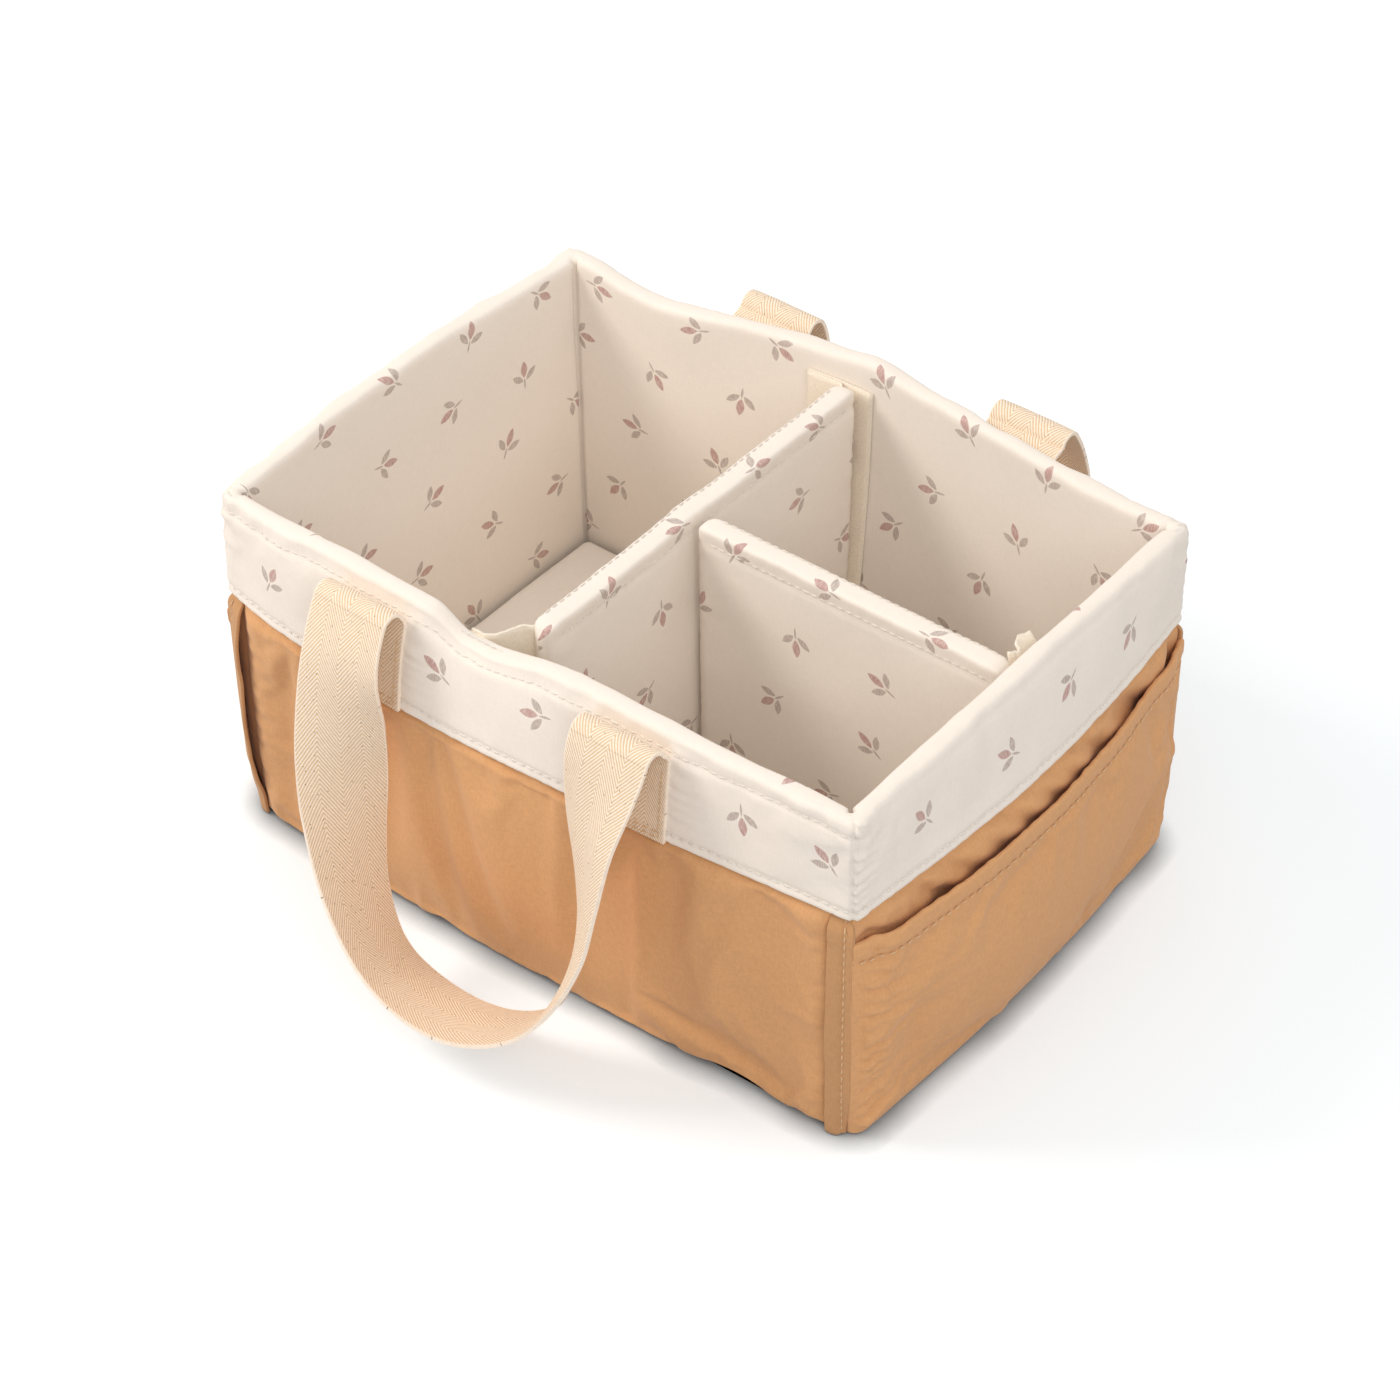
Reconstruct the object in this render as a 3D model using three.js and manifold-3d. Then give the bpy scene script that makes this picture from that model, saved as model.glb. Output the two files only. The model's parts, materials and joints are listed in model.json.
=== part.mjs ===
// A padded cloth caddy for nappies: four padded walls on a stiffened base, a printed lining turned out
// over the rim as a cuff, a lift-out floor pad, a lift-out T-shaped divider with hook tape at its ends,
// an open pocket on each end wall, and two webbing handles that hang outside the long walls.
// Millimetres. X runs along the long side, Y from front to back, Z up, and z = 0 is the table.
import * as THREE from 'three';
import * as BufferGeometryUtils from 'three/addons/utils/BufferGeometryUtils.js';
import Module from 'manifold-3d';

const wasm = await Module();
wasm.setup();

// Outside of the caddy at its rim
const caddyLength = 350;
const caddyDepth = 244;
const rimHeight = 183.5;
const cornerRadius = 10;

// Clearances: cloth to cloth, a divider's end to the loop tape, the floor pad to the tapes, and the overrun of cuts
const seamGap = 0.3;
const dividerPlay = 1.6;
const padToTape = 0.7;
const overrun = 6;

// Cloth, padding and boards, as thicknesses
const liningCloth = 1;
const outerCloth = 1;
const wallPadding = 6;
const baseCloth = 1;
const baseBoard = 3;
const webbing = 1.8;
const hookTape = 1.5;
const loopTape = 1.2;

// The turned-out cuff: its depth, and how far its top seam lies under the rim
const cuffDepth = 52;
const topstitchDrop = 7.5;

// The walls' padding swells outwards between rim and base, and the rim is pushed out where the divider presses
const frontSwell = 14;
const rightSwell = 11;
const backSwell = 10;
const leftSwell = 9;
const frontBow = 3;
const backBow = 14;
const leftBow = 7;
const backSag = 5;
const frontSwellSkewShare = 0.7;
const swellHeightSkewShare = 0.85;
const swellFullnessShare = 0.6;
const swellAtBaseShare = 0.3;
const paddingTopWidthShare = 0.35;
const paddingTopRiseShare = 0.75;

// Divider insert: place of its two panels, their padding and cloth, and their drop under the rim
const mainDividerX = -10;
const crossDividerY = 3;
const dividerDrop = 8.5;
const dividerPadding = 8;
const dividerCloth = 1;
const dividerSwell = 1.5;
const dividerFrontGap = 14;
const dividerTopBand = 14;
const seamTapeWidth = 8;

// Floor pad
const floorPadThickness = 14;
const floorPadCloth = 1;
const floorPadEdge = 3;
const floorPadMouth = 150;

// Hook tabs on the divider's ends, and the loop tape on the walls that holds them
const loopTapeWidth = 36;
const loopTapeShift = 7;
const tapeFromFloor = 10;
const tapeFromRim = 11.5;
const tabPlay = 0.5;
const mainTabReach = 18;
const frontTabFoot = 9;
const crossTabReach = 15;

// Handles: webbing width, the places of the sewn ends, and the hanging loop's size below its folds
const webbingWidth = 40;
const handleSpread = 142;
const frontHandleX = -6;
const backHandleX = 6;
const foldRadius = 6;
const foldTurnDegrees = 150;
const handleReach = 46;
const handleDrop = 158;

// Pockets on the end walls
const pocketCloth = 1;
const pocketHeight = 117;
const pocketGape = 13;

// The stack of layers through a wall, from its outside inwards, as depths under the outer face
const cuffInside = liningCloth;
const panelOutside = cuffInside + seamGap;
const panelInside = panelOutside + outerCloth;
const paddingOutside = panelInside + seamGap;
const paddingInside = paddingOutside + wallPadding;
const liningOutside = paddingInside + seamGap;
const liningInside = liningOutside + liningCloth;
const tapeOutside = liningInside + seamGap;
const tapeInside = tapeOutside + loopTape;
const tabMiddle = tapeInside + seamGap + hookTape / 2;
const rimRadius = liningInside / 2;

// Heights
const wallFoot = baseCloth + seamGap;
const boardTop = wallFoot + baseBoard;
const liningFoot = boardTop + seamGap;
const baseTop = liningFoot + baseCloth;
const padFoot = baseTop + seamGap;
const floorTop = padFoot + floorPadThickness;
const rimSpring = rimHeight - rimRadius;
const cuffTop = rimHeight - topstitchDrop;
const cuffFoot = cuffTop - cuffDepth + topstitchDrop;
const cuffMiddle = (cuffFoot + cuffTop) / 2;
const dividerTop = rimHeight - dividerDrop;
const tapeFoot = floorTop + tapeFromFloor;
const tapeTop = rimHeight - tapeFromRim;
const foldHeight = cuffTop;

// Colours of the cloths, tapes and boards
const colours = {
  tan: 0xc4905f,
  ivory: 0xf1e8dc,
  padding: 0xf3f1ec,
  board: 0xc8bda8,
  webbing: 0xe8d3b1,
  tape: 0xefe0b8,
};

// How rough each finish is
const roughness = { cloth: 0.9, padding: 0.95, board: 0.7 };

const group = new THREE.Group();

function piece(name, geometry, colour, finish) {
  const material = new THREE.MeshStandardMaterial({ color: colour, roughness: finish, metalness: 0 });
  const mesh = new THREE.Mesh(geometry, material);
  mesh.name = name;
  group.add(mesh);
  return mesh;
}

// Skins a row of closed sections, each a list of points in the same order, and closes both ends.
// A section goes along one side and comes back along the other, so its first half faces its second.
function loft(sections) {
  const count = sections[0].length;
  const places = sections.flat().flatMap((p) => [p.x, p.y, p.z]);
  const faces = [];
  for (let j = 0; j < count; j += 1) {
    const k = (j + 1) % count;
    // The slant of each pair of faces rises along the row, so that layers lying together are divided alike
    const [here, next] = [sections[0][j].z, sections[0][k].z];
    const falls = here === next ? j >= count / 2 : here > next;
    for (let i = 0; i + 1 < sections.length; i += 1) {
      const [a, b] = [i * count + j, i * count + k];
      const [c, d] = [b + count, a + count];
      if (falls) faces.push(a, b, d, b, c, d);
      else faces.push(a, b, c, a, c, d);
    }
  }
  const last = (sections.length - 1) * count;
  for (let j = 0; 2 * j + 2 < count; j += 1) {
    const [a, b, c, d] = [j, j + 1, count - 2 - j, count - 1 - j];
    faces.push(b, a, d);
    faces.push(last + a, last + b, last + d);
    if (b !== c) {
      faces.push(b, d, c);
      faces.push(last + b, last + c, last + d);
    }
  }
  const geometry = new THREE.BufferGeometry();
  geometry.setAttribute('position', new THREE.Float32BufferAttribute(places, 3));
  geometry.setIndex(faces);
  return turnedOut(geometry);
}

// Turns every face round if the closed surface holds a negative volume
function turnedOut(geometry) {
  const at = geometry.attributes.position;
  const index = geometry.index;
  const [a, b, c] = [new THREE.Vector3(), new THREE.Vector3(), new THREE.Vector3()];
  let volume = 0;
  for (let i = 0; i < index.count; i += 3) {
    a.fromBufferAttribute(at, index.getX(i));
    b.fromBufferAttribute(at, index.getX(i + 1));
    c.fromBufferAttribute(at, index.getX(i + 2));
    volume += a.dot(b.cross(c));
  }
  if (volume < 0) {
    for (let i = 0; i < index.count; i += 3) {
      const second = index.getX(i + 1);
      index.setX(i + 1, index.getX(i + 2));
      index.setX(i + 2, second);
    }
  }
  return geometry;
}

function toSolid(geometry) {
  const bare = new THREE.BufferGeometry();
  bare.setAttribute('position', geometry.attributes.position);
  bare.setIndex(geometry.index);
  const merged = BufferGeometryUtils.mergeVertices(bare);
  const mesh = new wasm.Mesh({
    numProp: 3,
    vertProperties: new Float32Array(merged.attributes.position.array),
    triVerts: new Uint32Array(merged.index.array),
  });
  return new wasm.Manifold(mesh);
}

function cutBy(geometry, cutter) {
  const mesh = toSolid(geometry).subtract(toSolid(cutter)).getMesh();
  const result = new THREE.BufferGeometry();
  result.setAttribute('position', new THREE.BufferAttribute(new Float32Array(mesh.vertProperties), 3));
  result.setIndex(new THREE.BufferAttribute(new Uint32Array(mesh.triVerts), 1));
  return result;
}

// Walls: along is the way a wall runs and out the way it faces, both in plan
const longStraight = caddyLength / 2 - cornerRadius;
const shortStraight = caddyDepth / 2 - cornerRadius;
const halfWebbing = webbingWidth / 2;
const halfTape = loopTapeWidth / 2;
const tapeTabSide = loopTapeShift + halfTape;

// A hump of the given reach on each side of a place, 1 at the place and 0 past its ends
function hump(at, place, before, after) {
  const away = at - place;
  const share = Math.min(1, Math.abs(away) / (away < 0 ? before : after));
  return (1 + Math.cos(Math.PI * share)) / 2;
}

// Even steps between the places that a wall's seams and tapes need, none longer than the longest step
const longestStep = 46;
function stepped(places) {
  const sorted = [...places].sort((a, b) => a - b);
  const stations = [sorted[0]];
  for (let i = 1; i < sorted.length; i += 1) {
    const span = sorted[i] - sorted[i - 1];
    const steps = Math.ceil(span / longestStep);
    for (let k = 1; k <= steps; k += 1) stations.push(sorted[i - 1] + (span * k) / steps);
  }
  return stations;
}

const handlePlaces = { front: frontHandleX, back: backHandleX };
function endPlaces(side) {
  return [-1, 1].map((way) => handlePlaces[side] + (way * handleSpread) / 2);
}

function edgesOf(centres, half) {
  return centres.flatMap((centre) => [centre - half, centre + half]);
}

const walls = {
  front: {
    along: [1, 0],
    out: [0, -1],
    half: caddyLength / 2,
    reach: caddyDepth / 2,
    places: [-longStraight, longStraight, ...edgesOf(endPlaces('front'), halfWebbing),
      ...edgesOf([mainDividerX - loopTapeShift], halfTape), mainDividerX],
    swell: frontSwell,
    skew: frontSwellSkewShare,
    bow: (s) => frontBow * Math.cos((Math.PI * s) / caddyLength),
    sag: () => 0,
  },
  right: {
    along: [0, 1],
    out: [1, 0],
    half: caddyDepth / 2,
    reach: caddyLength / 2,
    places: [-shortStraight, shortStraight, ...edgesOf([crossDividerY + loopTapeShift], halfTape), crossDividerY],
    swell: rightSwell,
    skew: 1,
    bow: () => 0,
    sag: () => 0,
  },
  back: {
    along: [-1, 0],
    out: [0, 1],
    half: caddyLength / 2,
    reach: caddyDepth / 2,
    places: [-longStraight, longStraight, ...edgesOf(endPlaces('back').map((x) => -x), halfWebbing),
      ...edgesOf([loopTapeShift - mainDividerX], halfTape), -mainDividerX],
    swell: backSwell,
    skew: 1,
    bow: (s) => backBow * hump(s, -mainDividerX, longStraight, longStraight * (2 / 3)),
    sag: (s) => backSag * hump(s, longStraight * (3 / 4), longStraight / 3, longStraight / 4),
  },
  left: {
    along: [0, -1],
    out: [-1, 0],
    half: caddyDepth / 2,
    reach: caddyLength / 2,
    places: [-shortStraight, shortStraight, -shortStraight / 3, shortStraight / 3, 0],
    swell: leftSwell,
    skew: 1,
    bow: (s) => leftBow * Math.cos((Math.PI * s) / caddyDepth),
    sag: () => 0,
  },
};

// Stations along a wall: the straight run, then an eighth of a turn round each corner in two steps
const cornerTurn = Math.PI / 4;
for (const wall of Object.values(walls)) {
  const straight = stepped(wall.places).map((s) => ({ s, turn: 0 }));
  const end = wall.half - cornerRadius;
  const corner = [1 / 2, 1].map((share) => ({ s: end, turn: cornerTurn * share }));
  const start = [...corner].reverse().map(({ s, turn }) => ({ s: -s, turn: -turn }));
  wall.stations = [...start, ...straight, ...corner];
}

// How far the rim's bow shows at a height: none at the table, all of it at the rim
function leanShare(z) {
  return Math.sin((Math.PI / 2) * Math.min(1, z / rimHeight));
}

// The padding's swell at a place and a height
function swellAt(wall, s, z) {
  const across = (s / wall.half + 1) / 2;
  const up = Math.min(1, z / rimSpring);
  const side = Math.sin(Math.PI * Math.pow(Math.max(0, across), wall.skew));
  const rise = Math.pow(Math.max(0, Math.sin(Math.PI * Math.pow(up, swellHeightSkewShare))), swellFullnessShare);
  return wall.swell * side * (rise + swellAtBaseShare * (1 - up));
}

// A point of a wall at a station, at a depth under its outer face and at a height.
// swelling is 1 on the outside of the padding and 0 on its inside.
function wallPoint(wall, station, depth, z, swelling) {
  const { s, turn } = station;
  const round = cornerRadius - depth;
  const mitred = Math.abs(turn) === cornerTurn ? (Math.sign(turn) * seamGap) / 2 : 0;
  const push = wall.bow(s) * leanShare(z) + swelling * swellAt(wall, s, z);
  const bowed = turn === 0 ? push : 0;
  const along = s + round * Math.sin(turn) - Math.abs(mitred) * Math.sign(turn) * Math.cos(cornerTurn);
  const out = wall.reach - cornerRadius + round * Math.cos(turn) + bowed
    + Math.abs(mitred) * Math.sin(cornerTurn);
  const sag = wall.sag(s) * Math.pow(Math.min(1, z / rimHeight), 2);
  return new THREE.Vector3(
    wall.along[0] * along + wall.out[0] * out,
    wall.along[1] * along + wall.out[1] * out,
    z - sag,
  );
}

// Lofts one closed profile, a list of [depth, height, swelling], along the given stations of a wall
function wallLoft(wall, stations, profile) {
  const sections = stations.map((station) => profile.map(([depth, z, swelling]) => (
    wallPoint(wall, station, depth, z, swelling)
  )));
  return loft(sections);
}

// Heights at which every layer of a wall has a row of points
const paddingSteps = 3;
const lowRows = [];
for (let i = 1; i < paddingSteps; i += 1) lowRows.push(wallFoot + ((pocketHeight - wallFoot) * i) / paddingSteps);
const rows = [...lowRows, pocketHeight, cuffFoot, cuffMiddle, cuffTop];

// A sheet's profile between two depths: up its outer face and down its inner one
function sheetProfile(outside, inside, heights, swelling = 1) {
  const up = heights.map((z) => [outside, z, swelling]);
  const down = [...heights].reverse().map((z) => [inside, z, swelling]);
  return [...up, ...down];
}

// The padding of a wall: swollen outside, flat inside, with its top edge rounded off
function paddingProfile() {
  const outer = [wallFoot, ...rows, rimSpring].map((z) => [paddingOutside, z, 1]);
  const inner = [wallFoot, ...rows, rimSpring].reverse().map((z) => [paddingInside, z, 0]);
  const arch = rimRadius - liningCloth - seamGap;
  const top = [-1, 1].map((way) => [
    rimRadius + way * arch * paddingTopWidthShare, rimSpring + arch * paddingTopRiseShare, 0,
  ]);
  return [...outer, ...top, ...inner];
}

// The lining: up the inside of the wall, over the rim in a half round, and down to the topstitching
function liningProfile() {
  const heights = [liningFoot, ...rows, rimSpring];
  const arcSteps = 4;
  const half = (radius, from) => {
    const points = [];
    for (let i = 0; i <= arcSteps; i += 1) {
      const turn = (Math.PI * (from ? arcSteps - i : i)) / arcSteps;
      points.push([rimRadius + radius * Math.cos(turn), rimSpring + radius * Math.sin(turn), 0]);
    }
    return points;
  };
  const inner = heights.slice(0, -1).map((z) => [liningInside, z, 0]);
  const over = half(rimRadius, false);
  const end = [[0, cuffTop, 1], [liningCloth, cuffTop, 1]];
  const back = half(rimRadius - liningCloth, true);
  const under = heights.slice(0, -1).reverse().map((z) => [liningOutside, z, 0]);
  return [...inner, ...over, ...end, ...back, ...under];
}

const panelHeights = [wallFoot, ...rows, rimSpring];
const cuffHeights = [cuffFoot, cuffMiddle, cuffTop - seamGap];
for (const [side, wall] of Object.entries(walls)) {
  const panel = sheetProfile(panelOutside, panelInside, panelHeights);
  piece(`${side}_outer_panel`, wallLoft(wall, wall.stations, panel), colours.tan, roughness.cloth);
  piece(`${side}_wall_padding`, wallLoft(wall, wall.stations, paddingProfile()), colours.padding, roughness.padding);
  piece(`${side}_lining`, wallLoft(wall, wall.stations, liningProfile()), colours.ivory, roughness.cloth);
  const cuff = sheetProfile(0, cuffInside, cuffHeights);
  piece(`${side}_cuff`, wallLoft(wall, wall.stations, cuff), colours.ivory, roughness.cloth);
}

// Binding round each upright corner: from the end of one wall's straight run, past the mitre, to the next wall
const bindingHeights = [wallFoot, ...lowRows, pocketHeight, cuffFoot - seamGap];
const cornerNames = [
  ['front_right', walls.front, walls.right],
  ['back_right', walls.right, walls.back],
  ['back_left', walls.back, walls.left],
  ['front_left', walls.left, walls.front],
];
for (const [corner, before, after] of cornerNames) {
  const profile = sheetProfile(0, pocketCloth, bindingHeights);
  const place = (wall, station) => profile.map(([depth, z, swelling]) => wallPoint(wall, station, depth, z, swelling));
  const end = before.half - cornerRadius;
  const sections = [
    place(before, { s: end, turn: 0 }),
    place(before, { s: end, turn: cornerTurn / 2 }),
    place(before, { s: end, turn: cornerTurn }),
    place(after, { s: cornerRadius - after.half, turn: -cornerTurn / 2 }),
  ];
  piece(`${corner}_corner_binding`, loft(sections), colours.tan, roughness.cloth);
}

// Base: an outline through the foot of the outer panels
function outlineAt(depth, z, swelling) {
  const points = [];
  for (const wall of Object.values(walls)) {
    for (const station of wall.stations.slice(1)) {
      const at = wallPoint(wall, station, depth, z, swelling);
      points.push(new THREE.Vector2(at.x, at.y));
    }
  }
  return points;
}

function plate(outline, foot, top) {
  const geometry = new THREE.ExtrudeGeometry(new THREE.Shape(outline), { depth: top - foot, bevelEnabled: false });
  geometry.translate(0, 0, foot);
  return geometry;
}

piece('base_fabric', plate(outlineAt(panelInside, wallFoot, 1), 0, baseCloth), colours.tan, roughness.cloth);

function roundedRectangle(length, depth, radius) {
  const shape = new THREE.Shape();
  const [x, y] = [length / 2, depth / 2];
  shape.absarc(x - radius, y - radius, radius, 0, Math.PI / 2);
  shape.absarc(radius - x, y - radius, radius, Math.PI / 2, Math.PI);
  shape.absarc(radius - x, radius - y, radius, Math.PI, (Math.PI * 3) / 2);
  shape.absarc(x - radius, radius - y, radius, (Math.PI * 3) / 2, Math.PI * 2);
  return shape;
}

const insideLength = caddyLength - 2 * liningInside;
const insideDepth = caddyDepth - 2 * liningInside;
const arcPieces = 3;
function roundedPlate(length, depth, radius, foot, top) {
  const geometry = new THREE.ExtrudeGeometry(roundedRectangle(length, depth, radius), {
    depth: top - foot,
    bevelEnabled: false,
    curveSegments: arcPieces,
  });
  geometry.translate(0, 0, foot);
  return geometry;
}

const boardLength = insideLength + 2 * liningCloth;
const boardDepth = insideDepth + 2 * liningCloth;
const board = roundedPlate(boardLength, boardDepth, floorPadEdge, wallFoot, boardTop);
piece('base_board', board, colours.board, roughness.board);
const baseLining = roundedPlate(insideLength - 2 * seamGap, insideDepth - 2 * seamGap, floorPadEdge, liningFoot, baseTop);
piece('base_lining', baseLining, colours.ivory, roughness.cloth);

// Floor pad: a board in a cloth cover with rounded edges, open at its right end where the board goes in
const padPlay = seamGap + loopTape + padToTape;
const padLength = insideLength - 2 * padPlay;
const padDepth = insideDepth - 2 * padPlay;
function bevelledPlate(length, depth, foot, top, edge) {
  const shape = roundedRectangle(length - 2 * edge, depth - 2 * edge, edge);
  const geometry = new THREE.ExtrudeGeometry(shape, {
    depth: top - foot - 2 * edge,
    bevelEnabled: true,
    bevelThickness: edge,
    bevelSize: edge,
    bevelSegments: 2,
    curveSegments: arcPieces,
  });
  geometry.translate(0, 0, foot + edge);
  return BufferGeometryUtils.mergeVertices(geometry.deleteAttribute('normal').deleteAttribute('uv'));
}

const padShell = bevelledPlate(padLength, padDepth, padFoot, floorTop, floorPadEdge);
const coreEdge = floorPadEdge - floorPadCloth;
const padHollow = bevelledPlate(
  padLength - 2 * floorPadCloth, padDepth - 2 * floorPadCloth, padFoot + floorPadCloth, floorTop - floorPadCloth, coreEdge,
);
const mouthLow = padFoot + floorPadEdge;
const mouthHigh = floorTop - floorPadEdge;
const padMouth = new THREE.BoxGeometry(overrun + padLength / 2, floorPadMouth, mouthHigh - mouthLow);
padMouth.translate((overrun + padLength / 2) / 2, 0, (mouthLow + mouthHigh) / 2);
const padMouthBare = padMouth.deleteAttribute('normal').deleteAttribute('uv');
const padCover = cutBy(cutBy(padShell, padHollow), BufferGeometryUtils.mergeVertices(padMouthBare));
piece('floor_pad_cover', padCover, colours.ivory, roughness.cloth);
const corePlay = floorPadCloth + seamGap;
const padCore = bevelledPlate(
  padLength - 2 * corePlay, padDepth - 2 * corePlay, padFoot + corePlay, floorTop - corePlay, coreEdge - seamGap,
);
piece('floor_pad_board', padCore, colours.board, roughness.board);

// Divider panels. A panel stands between two ends, each a function of height, and is lofted from one to the other.
const dividerFoot = floorTop + seamGap;
const dividerHalf = dividerPadding / 2 + dividerCloth + seamGap;
const dividerRows = [tapeFoot, ...rows.filter((z) => z > tapeFoot && z < dividerTop - dividerTopBand)];

// A panel's section: an upright slab with a round top, inset all round, as [side, height, swelling]
function dividerSection(half, inset, foot) {
  const swollen = dividerRows.map((z) => {
    const share = (z - dividerFoot) / (dividerTop - dividerTopBand - dividerFoot);
    return [z, Math.sin(Math.PI * share)];
  });
  const radius = half - inset;
  const spring = dividerTop - half;
  const side = [[foot, 0], ...swollen, [dividerTop - dividerTopBand, 0], [spring, 0]];
  const right = side.map(([z, swelling]) => [1, z, swelling]);
  const left = [...side].reverse().map(([z, swelling]) => [-1, z, swelling]);
  const arcSteps = 4;
  const top = [];
  for (let i = 1; i < arcSteps; i += 1) {
    const turn = (Math.PI * i) / arcSteps;
    top.push([Math.cos(turn), spring + radius * Math.sin(turn), 0]);
  }
  return [...right, ...top, ...left];
}

// stations: { place(z, inset), width, swelling } along the panel; at(run, side, z) puts a point in the room
function dividerLoft(stations, inset, foot, at) {
  const section = dividerSection(dividerHalf, inset, foot);
  const sections = stations.map((station) => section.map(([side, z, swelling]) => {
    const half = (dividerHalf - inset) * station.width + dividerSwell * swelling * station.swelling;
    return at(station.place(z, inset), side * half, z);
  }));
  return loft(sections);
}

// One panel as a cover open at its foot and the padding inside it
function dividerPanel(name, stations, at) {
  const shell = dividerLoft(stations, 0, dividerFoot, at);
  const hollow = dividerLoft(stations, dividerCloth, dividerFoot - overrun, at);
  piece(`${name}_cover`, cutBy(shell, hollow), colours.ivory, roughness.cloth);
  const core = dividerLoft(stations, dividerCloth + seamGap, dividerFoot + seamGap, at);
  piece(`${name}_padding`, core, colours.padding, roughness.padding);
}

// The inside face of a wall at its bow's place, as a distance from the middle of the caddy
function insideAt(wall, s, z, depth = liningInside) {
  return wall.reach - depth + wall.bow(s) * leanShare(z);
}

// Main panel: from short of the front wall to the back wall, drawn in at its ends and where the cross panel joins
const mainFront = -(caddyDepth / 2 - liningInside - dividerFrontGap);
const bayShares = [1 / 4, 1 / 2, 3 / 4];
function mainBack(z) {
  return insideAt(walls.back, -mainDividerX, z) - dividerPlay - loopTape - seamGap;
}
function between(from, to, share, drawnIn) {
  const swelling = drawnIn ? 0 : Math.sin(Math.PI * share);
  const place = (z, inset) => {
    const start = typeof from === 'function' ? from(z) - inset : from;
    const end = typeof to === 'function' ? to(z) - inset : to;
    return start + (end - start) * share;
  };
  return { place, width: 1, swelling };
}
const mainStations = [
  { place: (z, inset) => mainFront + inset, width: 1, swelling: 0 },
  ...bayShares.map((share) => between(mainFront, crossDividerY, share)),
  between(crossDividerY, crossDividerY, 0, true),
  ...bayShares.map((share) => between(crossDividerY, mainBack, share)),
  { place: (z, inset) => mainBack(z) - inset, width: 1, swelling: 0 },
];
dividerPanel('main_divider', mainStations, (run, side, z) => new THREE.Vector3(mainDividerX + side, run, z));

// Cross panel: its near end is a half round about the sewn joint, so that it can swing there
const seamTapeX = mainDividerX + dividerHalf + seamGap;
const crossAxisX = seamTapeX + loopTape + seamGap + dividerHalf;
function crossEnd(z) {
  return insideAt(walls.right, crossDividerY, z) - dividerPlay - loopTape - seamGap;
}
const nearEndTurns = [15, 40, 65, 90];
const crossStations = [
  ...nearEndTurns.map((degrees) => {
    const turn = THREE.MathUtils.degToRad(degrees);
    const place = (z, inset) => crossAxisX - (dividerHalf - inset) * Math.cos(turn);
    return { place, width: Math.sin(turn), swelling: 0 };
  }),
  ...bayShares.map((share) => between(crossAxisX, crossEnd, share)),
  { place: (z, inset) => crossEnd(z) - inset, width: 1, swelling: 0 },
];
dividerPanel('cross_divider', crossStations, (run, side, z) => new THREE.Vector3(run, crossDividerY + side, z));

const seamTape = new THREE.BoxGeometry(loopTape, seamTapeWidth, tapeTop - tapeFoot);
seamTape.translate(seamTapeX + loopTape / 2, crossDividerY, (tapeTop + tapeFoot) / 2);
piece('cross_divider_seam_tape', seamTape, colours.ivory, roughness.cloth);

// Loop tape down the lining behind each divider end, further to the tab's side of it than to the other
const tapeHeights = [tapeFoot, ...rows.filter((z) => z > tapeFoot && z < tapeTop), tapeTop];
const loopTapes = [
  ['front', walls.front, mainDividerX, -1],
  ['back', walls.back, -mainDividerX, 1],
  ['right', walls.right, crossDividerY, 1],
];
for (const [side, wall, centre, tabSide] of loopTapes) {
  const [low, high] = edgesOf([centre + tabSide * loopTapeShift], halfTape);
  const stations = [low, centre, high].map((s) => ({ s, turn: 0 }));
  const profile = sheetProfile(tapeOutside, tapeInside, tapeHeights, 0);
  piece(`${side}_loop_tape`, wallLoft(wall, stations, profile), colours.tape, roughness.cloth);
}

// A tab of hook tape: path(z) gives its middle line in plan, from the divider to its free end
function hookTab(name, path) {
  const heights = tapeHeights;
  const bounds = heights.map((z) => {
    const line = path(z);
    const sideOf = (i) => {
      const before = line[Math.max(0, i - 1)];
      const after = line[Math.min(line.length - 1, i + 1)];
      const along = after.clone().sub(before).normalize();
      return new THREE.Vector2(-along.y, along.x).multiplyScalar(hookTape / 2);
    };
    const one = line.map((p, i) => p.clone().add(sideOf(i)));
    const other = line.map((p, i) => p.clone().sub(sideOf(i))).reverse();
    return [...one, ...other];
  });
  const sections = bounds.map((loop, k) => loop.map((p) => new THREE.Vector3(p.x, p.y, heights[k])));
  return piece(name, loft(sections), colours.tape, roughness.cloth);
}

// A tab's middle line over the loop tape at a wall, away from the tape's own middle
function overTape(wall, centre, away, z) {
  const near = insideAt(wall, centre, z, tabMiddle);
  const far = insideAt(wall, centre + Math.sign(away) * tapeTabSide, z, tabMiddle);
  return near + ((far - near) * Math.abs(away)) / tapeTabSide;
}

// The front tab is sewn to the divider's side and slants across to the wall; its foot lies on the tape
const mainSideX = mainDividerX - dividerHalf - tabPlay;
const frontTabX = mainSideX - hookTape / 2;
const frontTabBend = frontTabX - mainTabReach / 2;
const frontTabY = (x, z) => -overTape(walls.front, mainDividerX, x - mainDividerX, z);
hookTab('front_hook_tab', (z) => [
  new THREE.Vector2(frontTabX, mainFront + hookTape),
  new THREE.Vector2(frontTabBend + hookTape, frontTabY(frontTabBend, z) + hookTape),
  new THREE.Vector2(frontTabBend - hookTape, frontTabY(frontTabBend - hookTape, z)),
  new THREE.Vector2(frontTabBend - frontTabFoot, frontTabY(frontTabBend - frontTabFoot, z)),
]);

// The back and right tabs start at the divider's side and lie flat on the tapes
hookTab('back_hook_tab', (z) => [mainSideX, mainSideX - mainTabReach].map((x) => (
  new THREE.Vector2(x, overTape(walls.back, -mainDividerX, mainDividerX - x, z))
)));
const crossSideY = crossDividerY + dividerHalf + tabPlay;
hookTab('right_hook_tab', (z) => [crossSideY, crossSideY + crossTabReach].map((y) => (
  new THREE.Vector2(overTape(walls.right, crossDividerY, y - crossDividerY, z), y)
)));

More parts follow.
